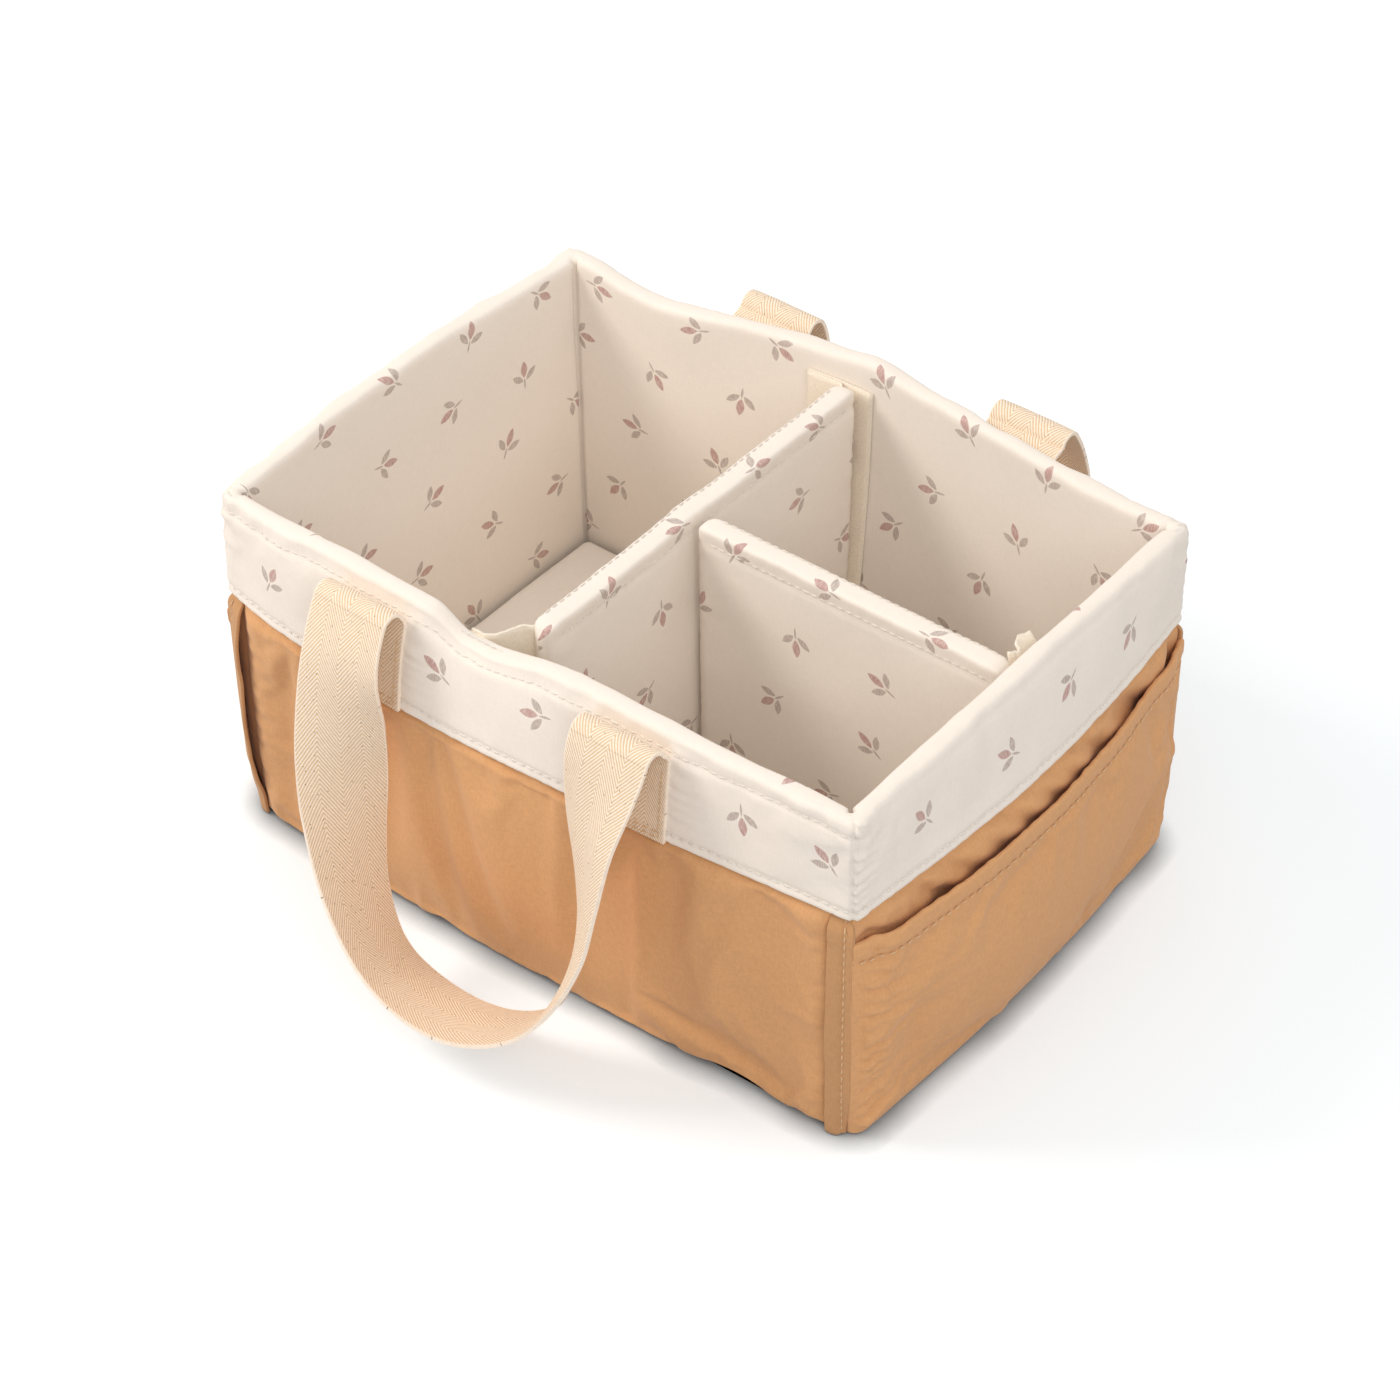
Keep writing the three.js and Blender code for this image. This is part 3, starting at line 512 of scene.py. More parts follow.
# Cloth: smooth noise, grids laid on a surface, settling and stitching

def ripple(x, y, seed):
    """Smooth noise from about -1 to 1; x and y are counted in ripples."""
    return noise.noise(Vector((x, y, seed)))


def ridged(value):
    """Noise with sharp ridges, as cloth has where it is drawn up: 0 in the valleys and 1 on the ridges."""
    return 1 - min(1.0, 2 * abs(value))


def crumple(x, y, seed):
    return ridged(ripple(x, y, seed))


def pleats(along, pitch, seed):
    """Small drawn-in folds side by side, uneven in spacing and height: 1 on the rolls, down to -1 in the creases."""
    drift = 0.9 * noise.noise(Vector((along / (2.6 * pitch), seed, 0.4)))
    strength = 0.75 + 1.1 * noise.noise(Vector((along / (1.7 * pitch), seed, 7.1)))
    return strength * (2 * abs(math.sin(math.pi * (along / pitch + drift))) ** 0.7 - 1)


def drawn_in(wall, s):
    """How hard a wall's upright seam is drawn up near a place: most at the front of the right end."""
    return 1.0 if wall.name == "right" and s < 0 else 0.15


def around(run, length, pitch):
    """A place on a circle for noise that has to meet itself after the given length; pitch is one ripple."""
    turn = math.tau * run / length
    radius = length / (math.tau * pitch)
    return radius * math.cos(turn), radius * math.sin(turn)


def ripple_round(run, length, pitch, height, seed):
    x, y = around(run, length, pitch)
    return noise.noise(Vector((x + seed * 7.3, y, height + seed)))


def grid_mesh(columns, rows, place, lay, closed=False):
    """A cloth grid: place(i, j) gives each vertex and lay(i, j) its own place on the flat cloth, in metres."""
    bm = bmesh.new()
    bm.loops.layers.uv.new("cloth")
    bm.verts.layers.float_vector.new("spot")
    bmesh.ops.create_grid(bm, x_segments=columns, y_segments=rows, size=0.5, calc_uvs=True)
    uv = bm.loops.layers.uv["cloth"]
    spot = bm.verts.layers.float_vector["spot"]
    for vertex in bm.verts:
        vertex[spot] = (round((vertex.co.x + 0.5) * columns), round((vertex.co.y + 0.5) * rows), 0)
    for face in bm.faces:
        for loop in face.loops:
            loop[uv].uv = lay(*whole(loop.vert[spot]))
    for vertex in bm.verts:
        vertex.co = place(*whole(vertex[spot]))
    if closed:
        bmesh.ops.remove_doubles(bm, verts=bm.verts, dist=0.01 * MM)
        bmesh.ops.recalc_face_normals(bm, faces=bm.faces)
    return bm


def whole(spot):
    """A vertex's column and row on its grid."""
    return int(spot[0]), int(spot[1])


def face_outwards(bm, out):
    """Turns the faces of an open sheet to the given side."""
    bmesh.ops.recalc_face_normals(bm, faces=bm.faces)
    if sum((face.normal.dot(out) for face in bm.faces), 0.0) < 0:
        bmesh.ops.reverse_faces(bm, faces=bm.faces)


def rounded_box(span, radius):
    """A box about the origin with rounded upright edges."""
    bm = bmesh.new()
    bm.loops.layers.uv.new("cloth")
    bmesh.ops.create_cube(bm, size=1.0, calc_uvs=True)
    bmesh.ops.scale(bm, vec=span, verts=bm.verts)
    uprights = [e for e in bm.edges if abs(e.verts[0].co.z - e.verts[1].co.z) > span.z / 2]
    bmesh.ops.bevel(bm, geom=uprights, offset=radius, affect="EDGES", segments=4, profile=0.5, material=-1)
    return bm


def place_in_scene(name, data):
    thing = bpy.data.objects.new(name, data)
    bpy.context.scene.collection.objects.link(thing)
    return thing


def new_piece(name, bm, kind, body, replaced=()):
    """Turns a bmesh into a finished piece that rides on a body and hides the CAD nodes that it replaces."""
    mesh = bpy.data.meshes.new(name)
    bm.normal_update()
    bm.to_mesh(mesh)
    bm.free()
    mesh.materials.append(material_of(kind))
    mesh.shade_smooth()
    piece = place_in_scene(name, mesh)
    if body:
        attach(piece, body)
    if replaced:
        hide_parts(*replaced)
    return piece


def thicken(piece, thickness, offset=-1.0):
    """Gives a sheet of cloth its thickness; offset -1 grows inwards from the outer face."""
    solidify = piece.modifiers.new("thickness", "SOLIDIFY")
    solidify.thickness = thickness
    solidify.offset = offset
    solidify.use_even_offset = False


def apply_modifiers(piece):
    mesh = bpy.data.meshes.new_from_object(piece.evaluated_get(bpy.context.evaluated_depsgraph_get()))
    piece.modifiers.clear()
    piece.vertex_groups.clear()
    piece.data = mesh


SIDEWAYS = 3 * MM
SETTLE_FRAMES = 24


def settle(piece, out, held, slack, limits):
    """Lets a sewn cloth settle by simulation: it is longer than its place by the slack and held at its seams,
    so it buckles between them as real cloth does. held(i, j) is 1 at a seam, and limits(i, j) gives how far a
    place may move inwards and outwards."""
    mesh = piece.data
    start = [vertex.co.copy() for vertex in mesh.vertices]
    spots = [(spot.vector[0], spot.vector[1]) for spot in mesh.attributes["spot"].data]
    group = piece.vertex_groups.new(name="sewn")
    for vertex, spot in zip(mesh.vertices, spots):
        group.add([vertex.index], held(*spot), "REPLACE")
    cloth = piece.modifiers.new("cloth", "CLOTH")
    settings = cloth.settings
    settings.quality = 6
    settings.mass = 0.2
    settings.tension_stiffness = settings.compression_stiffness = 25
    settings.shear_stiffness = 8
    settings.bending_stiffness = 0.6
    settings.tension_damping = settings.compression_damping = settings.shear_damping = 10
    settings.air_damping = 4
    settings.vertex_group_mass = "sewn"
    settings.pin_stiffness = 1.0
    settings.shrink_min = -slack
    settings.effector_weights.gravity = 0
    cloth.collision_settings.use_collision = False
    cloth.point_cache.frame_start = 1
    cloth.point_cache.frame_end = SETTLE_FRAMES
    scene = bpy.context.scene
    for frame_number in range(1, SETTLE_FRAMES + 1):
        scene.frame_set(frame_number)
    settled = piece.evaluated_get(bpy.context.evaluated_depsgraph_get())
    places = [vertex.co.copy() for vertex in settled.data.vertices]
    piece.modifiers.remove(cloth)
    scene.frame_set(1)
    for vertex, spot, before, after in zip(mesh.vertices, spots, start, places):
        move = after - before
        inwards, outwards = limits(*spot)
        across = move.dot(out)
        limit = outwards if across > 0 else inwards
        sideways = move - out * across
        if sideways.length > SIDEWAYS:
            sideways *= SIDEWAYS / sideways.length
        vertex.co = before + sideways + out * (limit * math.tanh(across / limit))
    mesh.update()


def soften(piece):
    """One subdivision, applied, so that the small puckers of the seams can be pressed in afterwards."""
    smoothing = piece.modifiers.new("smooth", "SUBSURF")
    smoothing.levels = smoothing.render_levels = 1
    smoothing.boundary_smooth = "PRESERVE_CORNERS"
    apply_modifiers(piece)


def press(piece, push):
    """Moves each place of a cloth along its own normal; push(i, j) is told where on the grid it lies."""
    mesh = piece.data
    spots = mesh.attributes["spot"].data
    moves = [vertex.normal * push(spot.vector[0], spot.vector[1]) for vertex, spot in zip(mesh.vertices, spots)]
    for vertex, move in zip(mesh.vertices, moves):
        vertex.co += move
    mesh.update()


def between(values, at):
    """The value at a fractional place in a list."""
    i = min(len(values) - 2, max(0, int(at)))
    return values[i] + (values[i + 1] - values[i]) * (at - i)


def runs_along(points):
    """The length run so far at each of a list of flat points."""
    runs = [0.0]
    for (x0, y0), (x1, y1) in zip(points, points[1:]):
        runs.append(runs[-1] + math.hypot(x1 - x0, y1 - y0))
    return runs


def row_path(piece, row, first, last):
    """Places and normals along one row of a piece's grid, as it lies after settling."""
    mesh = piece.data
    found = []
    for vertex, spot in zip(mesh.vertices, mesh.attributes["spot"].data):
        i, j = spot.vector[0], spot.vector[1]
        if abs(j - row) < 0.1 and first <= i <= last:
            found.append((i, vertex.co.copy(), vertex.normal.copy()))
    found.sort(key=lambda entry: entry[0])
    return [(place, normal) for _, place, normal in found]


def lifted_path(place, spots):
    """Places and normals along a surface; place(spot, lift) gives a point held off it by the lift."""
    path = []
    for spot in spots:
        point = place(spot, 0.0)
        path.append((point, (place(spot, 1 * MM) - point).normalized()))
    return path


STITCH_GAP = 1.2 * MM


def stitch_line(bm, path, radius, lift, gap=STITCH_GAP):
    """Sews a row of stitches along a path of places and normals: short threads that dip at both ends."""
    length = sizes().stitch
    travelled = 0.0
    pitch = length + gap
    next_at = pitch / 2
    size = Matrix.Diagonal((length / 2, radius, radius * 0.8, 1))
    lying = Matrix.Rotation(math.pi / 2, 4, "Y")
    for (here, normal), (there, _) in zip(path, path[1:]):
        step = (there - here).length
        while next_at <= travelled + step and step > 0:
            centre = here.lerp(there, (next_at - travelled) / step) + normal * lift
            forward = (there - here).normalized()
            side = normal.cross(forward).normalized()
            turn = Matrix((forward, side, forward.cross(side))).transposed().to_4x4()
            bmesh.ops.create_uvsphere(bm, u_segments=6, v_segments=5, radius=1.0,
                                      matrix=Matrix.Translation(centre) @ turn @ size @ lying)
            next_at += pitch
        travelled += step


WALLS = []
SEAM = 0.3 * MM


def walls():
    if not WALLS:
        WALLS.extend(make_walls())
    return WALLS


# Printed cotton: one cloth up the inside of the walls, over the rim and down outside as the cuff

# Middles of the sewn webbing ends along each long wall
HANDLE_ENDS = (-77 * MM, 65 * MM)
LONG_WALLS = ("front", "back")
HEM_ROW = 3.5 * MM


def rim_rows():
    """Rows of the printed cloth as (depth, height, swelling, length run): up the inside, over, down the outside."""
    size = sizes()
    radius = size.wall / 2
    spring = size.height - radius
    floor = FOOTPRINT[1][2] + SEAM
    low_steps, high_steps, arc_steps, cuff_steps = 26, 28, 12, 34
    shoulder = spring - 60 * MM
    rows = [(size.wall, floor + (shoulder - floor) * i / low_steps, 0.0) for i in range(low_steps)]
    rows += [(size.wall, shoulder + (spring - shoulder) * i / high_steps, 0.0) for i in range(high_steps)]
    for i in range(arc_steps):
        turn = math.pi * i / arc_steps
        # Padding squeezed under the turned cloth gives the rim a flat top with soft edges
        across, up = math.cos(turn), math.sin(turn)
        rows.append((radius + radius * math.copysign(abs(across) ** 0.7, across), spring + radius * up ** 0.6, 0.0))
    rows += [(0.0, spring + (size.cuff_foot - spring) * i / cuff_steps, 1.0) for i in range(cuff_steps + 1)]
    # The hem turns in round its own fold and a little way up behind
    for depth, rise in ((0.5 * MM, -0.5 * MM), (1.2 * MM, -0.4 * MM), (1.6 * MM, 0.6 * MM), (1.7 * MM, 4 * MM)):
        rows.append((depth, size.cuff_foot + rise, 1.0))
    return [(*row, run) for row, run in zip(rows, runs_along([row[:2] for row in rows]))]


def cuff_push(spot, z, depth):
    """Puckers of the printed cloth: soft rolls on the rim, drawn-in stitch lines, small creases between them."""
    size = sizes()
    wall, s, turn, run, length = spot

    def rolls(pitch, high, seed):
        return ripple_round(run, length, pitch, z / high, seed)

    outside = smooth(size.wall, 0, depth)
    near_rim = smooth(size.height - 60 * MM, size.height - 6 * MM, z)
    push = 1.6 * MM * near_rim * rolls(28 * MM, 60 * MM, 1.0)
    push += 0.7 * MM * near_rim * rolls(12 * MM, 30 * MM, 2.0)
    # The rim is topstitched on the long walls only
    below_top = abs(size.height - size.topstitch - z) + (0 if wall.name in LONG_WALLS else 40 * MM)
    above_hem = abs(z - size.cuff_foot - HEM_ROW)
    for away, strength in ((below_top, 0.8), (above_hem, 0.5)):
        push -= outside * 0.95 * MM * bell(away, 1.3 * MM)
        puckers = ridged(rolls(7 * MM, 16 * MM, 3.0))
        push += outside * strength * MM * (puckers - 0.6) * bell(away, 6 * MM)
    slack = smooth(0, 12 * MM, min(below_top, above_hem))
    push += outside * slack * 1.5 * MM * rolls(30 * MM, 40 * MM, 4.0)
    # The upright corner seams are drawn in, and the cloth beside them lies in small level puckers
    to_seam = wall.half - abs(s) if turn == 0 else (math.pi / 4 - abs(turn)) * size.corner
    strength = 1.5 * drawn_in(wall, s)
    fan = z + (z - size.cuff_foot - 26 * MM) * to_seam / (40 * MM)
    level = pleats(fan, 6.5 * MM, wall.reach)
    push += outside * strength * MM * (level if level > 0 else 0.5 * level) * decay(to_seam, 8 * MM)
    for handle_end in HANDLE_ENDS if wall.name in LONG_WALLS else ():
        beside = s - handle_end - size.webbing / 2
        if beside > 0:
            push += (outside * 1.1 * MM * pleats(z, 7 * MM, handle_end) * decay(beside, 7 * MM)
                     * smooth(0, 2 * MM, beside))
    push += outside * 1.6 * MM * near_rim * (ridged(rolls(9 * MM, 14 * MM, 6.0)) - 0.6) * decay(to_seam, 26 * MM)
    push -= outside * 2.1 * MM * bell(to_seam, 0.6 * MM) * (abs(turn) > 0)
    return push


def rim_wave(run, length):
    """How far the rim rises and falls along its way round."""
    return (1.5 * MM * ripple_round(run, length, 48 * MM, 0.0, 8.0)
            + 0.5 * MM * ripple_round(run, length, 17 * MM, 0.0, 9.0))


def printed_point(spot, depth, z, swelling, lifted=0.0):
    """A point of the printed cloth, held off it by the lift."""
    size = sizes()
    wall, s, turn, run, length = spot
    push = cuff_push(spot, z, depth)
    inside = smooth(size.wall * 0.5 - 0.5 * MM, size.wall * 0.5 + 0.5 * MM, depth)
    push *= 1 - 1.4 * inside
    push -= inside * 0.4 * MM * ripple_round(run, length, 50 * MM, z / (48 * MM), 7.0)
    # Inside, the corner seams sink in as a narrow dark line
    if inside > 0.5 and turn:
        push += 1.8 * MM
    elif inside > 0.5 and abs(s) > wall.straight - 0.1 * MM:
        s = math.copysign(wall.straight - 0.7 * MM, s)
    lift = rim_wave(run, length) * smooth(size.cuff_foot - 30 * MM, size.height, z)
    if wall.name == "back":
        # The divider's end holds the rim up in a small peak
        lift += 3 * MM * bell(s, 13 * MM) * smooth(size.height - 30 * MM, size.height, z)
    return wall_point(wall, s, turn, depth, z, swelling, push + lifted) + Vector((0, 0, lift))


def ring_columns(step):
    """Columns right round the caddy as (wall, s, turn, run, whole length), the first again at the end."""
    ring = []
    start = 0.0
    for wall in walls():
        columns = wall_columns(wall, step)
        ring += [(wall, s, turn, start + run) for s, turn, run in columns[:-1]]
        start += columns[-1][2]
    ring.append((*ring[0][:3], start))
    return [(*column, start) for column in ring]


class CADDY_OT_printed_cloth(bpy.types.Operator):
    """Lines the caddy and turns the lining out over the rim as a cuff"""

    bl_idname = "caddy.printed_cloth"
    bl_label = "Printed cloth"

    def execute(self, context):
        ring = ring_columns(2.4 * MM)
        rows = rim_rows()
        bm = grid_mesh(len(ring) - 1, len(rows) - 1, lambda i, j: printed_point(ring[i], *rows[j][:3]),
                       lambda i, j: (ring[i][3], rows[j][3]), closed=True)
        nodes = [f"{wall.name}_{part}" for wall in walls() for part in ("lining", "cuff")]
        piece = new_piece("printed_lining_and_cuff", bm, "printed", "caddy", nodes)
        self.sew(ring)
        return {"FINISHED"}

    def sew(self, ring):
        """Topstitching under the rim and a row along the hem, in ivory thread."""
        size = sizes()
        bm = bmesh.new()
        top = size.height - size.topstitch
        lines = [([column for column in ring if column[0].name == name], top, 0.45 * MM) for name in LONG_WALLS]
        for columns, z, radius in lines + [(ring, size.cuff_foot + HEM_ROW, 0.62 * MM)]:
            path = lifted_path(lambda spot, lift: printed_point(spot, 0.0, z, 1.0, lift), columns)
            stitch_line(bm, path, radius, 0.3 * MM)
        new_piece("cuff_stitching", bm, "white_thread", "caddy")


# Canvas walls

# Furrows of each wall in millimetres: one end, the other end, width and depth
CREASES = {
    "front": [
        ((-50, 132), (-34, 10), 6, 5.4), ((-36, 128), (-8, 20), 7, 3.4), ((-62, 128), (-74, 30), 8, 2.6),
        ((58, 130), (40, 30), 15, 6.4), ((-8, 124), (-2, 24), 24, -3.2), ((112, 120), (104, 20), 20, -3.0),
        ((-132, 124), (-140, 24), 6, 2.8), ((70, 30), (146, 12), 5, 3.6), ((96, 30), (140, 16), 7, 1.8),
        ((120, 118), (96, 60), 10, 1.8),
    ],
    "right": [((-70, 110), (-86, 20), 7, 1.6), ((40, 126), (30, 70), 9, 1.6), ((80, 124), (86, 30), 9, 1.4)],
    "back": [((-90, 126), (-70, 50), 10, 2.0), ((60, 126), (84, 50), 10, 2.2), ((10, 90), (-20, 20), 12, 1.4)],
    "left": [((-40, 120), (-50, 40), 9, 1.6), ((60, 122), (44, 60), 9, 1.6)],
}
# Where the foot of a wall is tucked up a little off the floor, in millimetres: place along it, reach and height
FOOT_TUCKS = {
    "front": ((113, 27, 4.0), (-48, 16, 2.4), (14, 13, 2.0)),
    "right": ((21, 11, 2.6), (74, 9, 2.6)),
    "back": ((-60, 20, 2.4), (80, 14, 2.0)),
    "left": ((30, 15, 2.2),),
}
CANVAS = 0.8 * MM
CANVAS_DIP = 3.4 * MM
CANVAS_STEP = 3.4 * MM


def crease(s, z, start, end, width, depth):
    """A soft furrow between two places on a wall, deepest at its middle."""
    x0, z0 = start[0] * MM, start[1] * MM
    sx, sz = end[0] * MM - x0, end[1] * MM - z0
    long = math.hypot(sx, sz)
    along = ((s - x0) * sx + (z - z0) * sz) / (long * long)
    if along < -0.1 or along > 1.1:
        return 0.0
    off = ((s - x0) * sz - (z - z0) * sx) / long
    ends = smooth(-0.1, 0.35, along) * smooth(1.1, 0.65, along)
    return -depth * MM * bell(off, width * MM) * ends


def foot_lift(wall, s, z):
    tucked = sum(height * MM * hump(s, place * MM, reach * MM, reach * MM)
                 for place, reach, height in FOOT_TUCKS[wall.name])
    tucked += 0.8 * MM * max(0.0, ripple(s / (19 * MM), 0.0, wall.reach * 50))
    return tucked * smooth(16 * MM, 2 * MM, z)


def canvas_push(wall, s, z, seed):
    """Slack of the canvas: long soft waves, furrows off the straps, puckers along its seams."""
    size = sizes()
    push = 1.3 * MM * ripple(s / (42 * MM), z / (90 * MM), seed)
    for furrow in CREASES[wall.name]:
        push += crease(s, z, *furrow)
    to_end = wall.straight - abs(s)
    in_from_end = max(0.0, to_end)
    along_end = crumple(z / (9 * MM), s / (40 * MM), seed + 1)
    push += 1.3 * MM * (along_end - 0.55) * decay(in_from_end, 11 * MM)
    to_cuff = abs(size.cuff_foot - z)
    push += 0.7 * MM * (crumple(s / (10 * MM), z / (40 * MM), seed + 2) - 0.5) * decay(to_cuff, 14 * MM)
    push += 0.8 * MM * (crumple(s / (12 * MM), z / (30 * MM), seed + 3) - 0.5) * decay(z, 10 * MM)
    # The cloth dips to the seams it is sewn into, and stands clear of the cuff over it
    push += 1.8 * MM * bell(to_end - 11 * MM, 8 * MM) - 3.0 * MM * decay(in_from_end, 3.5 * MM)
    covered = smooth(size.cuff_foot - 7 * MM, size.cuff_foot - 1 * MM, z)
    if wall.name not in LONG_WALLS:
        # Above the pocket's mouth the canvas lies in short slanting tucks that dive behind the hem
        above = z - size.pocket_height
        gaping = pocket_gape(wall, s, size.pocket_height, 1.0)
        push += 4.8 * MM * gaping * pleats(s + above, 21 * MM, seed + 5) * bell(above, 11 * MM)
        push = min(push, CANVAS_DIP * math.tanh(push / CANVAS_DIP))
        covered = max(covered, smooth(-6 * MM, -18 * MM, above))
    push = push * (1 - covered) + (0.5 * min(push, 0.0) - 2.0 * MM) * covered
    return push if push > 0 else CANVAS_DIP * math.tanh(push / CANVAS_DIP)


def panel_rows():
    """Rows of an outer panel as (depth, height, length run): in from under the base, round its edge and up."""
    edge, outside, under = 4 * MM, 1.3 * MM, 0.5 * MM
    arc_steps, steps = 5, 42
    rows = [(outside + edge + 3 * MM, under)]
    for i in range(arc_steps + 1):
        turn = math.pi / 2 * i / arc_steps
        rows.append((outside + edge * (1 - math.sin(turn)), under + edge * (1 - math.cos(turn))))
    top = sizes().cuff_foot + 9 * MM
    foot = rows[-1][1]
    rows += [(outside, foot + (top - foot) * i / steps) for i in range(1, steps + 1)]
    return [(*row, run) for row, run in zip(rows, runs_along(rows))]


class CADDY_OT_canvas_walls(bpy.types.Operator):
    """Makes the four canvas panels of the outside"""

    bl_idname = "caddy.canvas_walls"
    bl_label = "Canvas walls"

    def execute(self, context):
        for number, wall in enumerate(walls()):
            self.make(wall, 10.0 * (number + 1))
        return {"FINISHED"}

    def make(self, wall, seed):
        size = sizes()
        rows = panel_rows()
        columns = wall_columns(wall, CANVAS_STEP)
        last_column, last_row = len(columns) - 1, len(rows) - 1

        def place(i, j):
            s, turn, _ = columns[i]
            depth, z, _ = rows[j]
            fade = max(0.0, math.cos(2 * turn))
            push = canvas_push(wall, s, z, seed) * smooth(0, 12 * MM, z) * fade
            # At the corner seam it keeps well behind the cuff's drawn-in seam
            push -= 2.8 * MM * smooth(size.cuff_foot - 6 * MM, size.cuff_foot - 1 * MM, z) * (1 - fade)
            return wall_point(wall, s, turn, depth, z + foot_lift(wall, s, z), 1.0, push)

        def held(i, j):
            """Sewn along both upright seams, under the base and under the cuff"""
            return 1.0 if min(i, last_column - i) <= 7 or j <= 5 or j >= last_row - 3 else 0.0

        def limits(i, j):
            """Padding stops it inwards; cuff and pocket lie over it outwards"""
            z = rows[round(j)][1]
            free = smooth(size.cuff_foot - 3 * MM, size.cuff_foot - 16 * MM, z)
            if wall.name not in LONG_WALLS:
                free = 0.4 * min(free, smooth(size.pocket_height - 10 * MM, size.pocket_height + 2 * MM, z))
            return 2.0 * MM, 0.3 * MM + 5 * MM * free

        places = [column[0] for column in columns]
        heights = [row[1] for row in rows]

        def pucker(i, j):
            """Drawn-in folds beside the upright seams, under the cuff and along the foot"""
            s, z = between(places, i), between(heights, j)
            to_end = max(0.0, wall.straight - abs(s))
            off = 1.2 * MM * drawn_in(wall, s) * pleats(z + to_end * 0.3, 8 * MM, seed) * decay(to_end, 9 * MM)
            off += (0.5 * MM * pleats(s, 8 * MM, seed + 1) * decay(abs(size.cuff_foot - z), 10 * MM)
                    * smooth(size.cuff_foot - 1 * MM, size.cuff_foot - 7 * MM, z))
            off += 0.5 * MM * pleats(s, 9 * MM, seed + 2) * decay(z, 9 * MM)
            return off * smooth(3 * MM, 10 * MM, z)

        bm = grid_mesh(last_column, last_row, place, lambda i, j: (columns[i][2], rows[j][2]))
        face_outwards(bm, wall.out)
        nodes = [f"{wall.name}_outer_panel"]
        piece = new_piece(f"{wall.name}_canvas", bm, "canvas", "caddy", nodes)
        settle(piece, wall.out, held, 0.06, limits)
        soften(piece)
        press(piece, pucker)
        thicken(piece, CANVAS)


class CADDY_OT_base(bpy.types.Operator):
    """Makes the canvas bottom and the lining over the base board"""

    bl_idname = "caddy.base"
    bl_label = "Base"

    def execute(self, context):
        size = sizes()
        front, right, back, left = walls()
        count = 48
        inset = 3.5 * MM

        def edge(wall, share):
            """A point round the foot of one wall, from one corner's middle to the other's."""
            arc = size.corner * math.pi / 4
            total = 2 * wall.straight + 2 * arc
            run = total * share
            if run < arc:
                return wall_point(wall, -wall.straight, -math.pi / 4 * (1 - run / arc), inset, 0.0)
            if run > total - arc:
                return wall_point(wall, wall.straight, math.pi / 4 * (run - total + arc) / arc, inset, 0.0)
            return wall_point(wall, run - arc - wall.straight, 0.0, inset, 0.0)

        corners = [edge(front, 0), edge(front, 1), edge(back, 0), edge(back, 1)]

        def place(i, j):
            u, v = i / count, j / count
            ruled = edge(front, u).lerp(edge(back, 1 - u), v) + edge(left, 1 - v).lerp(edge(right, v), u)
            point = ruled - corners[0].lerp(corners[1], u).lerp(corners[3].lerp(corners[2], u), v)
            point.z = 0.0
            return point

        bm = grid_mesh(count, count, place, lambda i, j: place(i, j).xy)
        bmesh.ops.recalc_face_normals(bm, faces=bm.faces)
        if bm.faces[0].normal.z > 0:
            bmesh.ops.reverse_faces(bm, faces=bm.faces)
        piece = new_piece("base_canvas", bm, "canvas", "caddy", ["base_fabric"])
        thicken(piece, 0.9 * MM)
        low, high = (Vector(corner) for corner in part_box("base_lining"))
        span = high - low
        bm = rounded_box(span, 3 * MM)
        bmesh.ops.translate(bm, vec=(low + high) / 2, verts=bm.verts)
        uv = bm.loops.layers.uv["cloth"]
        for face in bm.faces:
            for loop in face.loops:
                loop[uv].uv = loop.vert.co.xy
        piece = new_piece("base_lining_cloth", bm, "plain", "caddy", ["base_lining"])
        piece.data.shade_flat()
        return {"FINISHED"}


class CADDY_OT_wall_padding(bpy.types.Operator):
    """Makes the padding inside each wall, a little slimmer than the cloth over it"""

    bl_idname = "caddy.wall_padding"
    bl_label = "Wall padding"

    def execute(self, context):
        low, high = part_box("front_wall_padding")
        inner, outer = sizes().wall - 1.3 * MM, 7.0 * MM
        middle = (outer + inner) / 2
        grain = 9 * MM
        heights = [low[2] + 1 * MM + (high[2] - 5 * MM - low[2]) * k / 18 for k in range(19)]
        loop = [(outer, z, 1.0) for z in heights]
        loop += [(middle, heights[-1] + 1.5 * MM, 0.0)]
        loop += [(inner, z, 0.0) for z in reversed(heights)]
        loop += [(middle, heights[0] - 0.5 * MM, 0.5), loop[0]]
        for wall in walls():
            steps = max(8, round(2 * wall.straight / grain))

            def place(i, j):
                s = -wall.straight + 2 * wall.straight * i / steps
                depth, z, swelling = loop[j]
                # The wadding is drawn thin at its two ends, where the corner seams hold it
                edge = math.sqrt(max(0.0, 1 - (2 * i / steps - 1) ** 12))
                return wall_point(wall, s, 0.0, middle + (depth - middle) * edge, z, swelling * edge)

            bm = grid_mesh(steps, len(loop) - 1, place, lambda i, j: (i * grain, j * grain), closed=True)
            nodes = [f"{wall.name}_wall_padding"]
            piece = new_piece(f"{wall.name}_wadding", bm, "foam", "caddy", nodes)
        return {"FINISHED"}


# Corner bindings

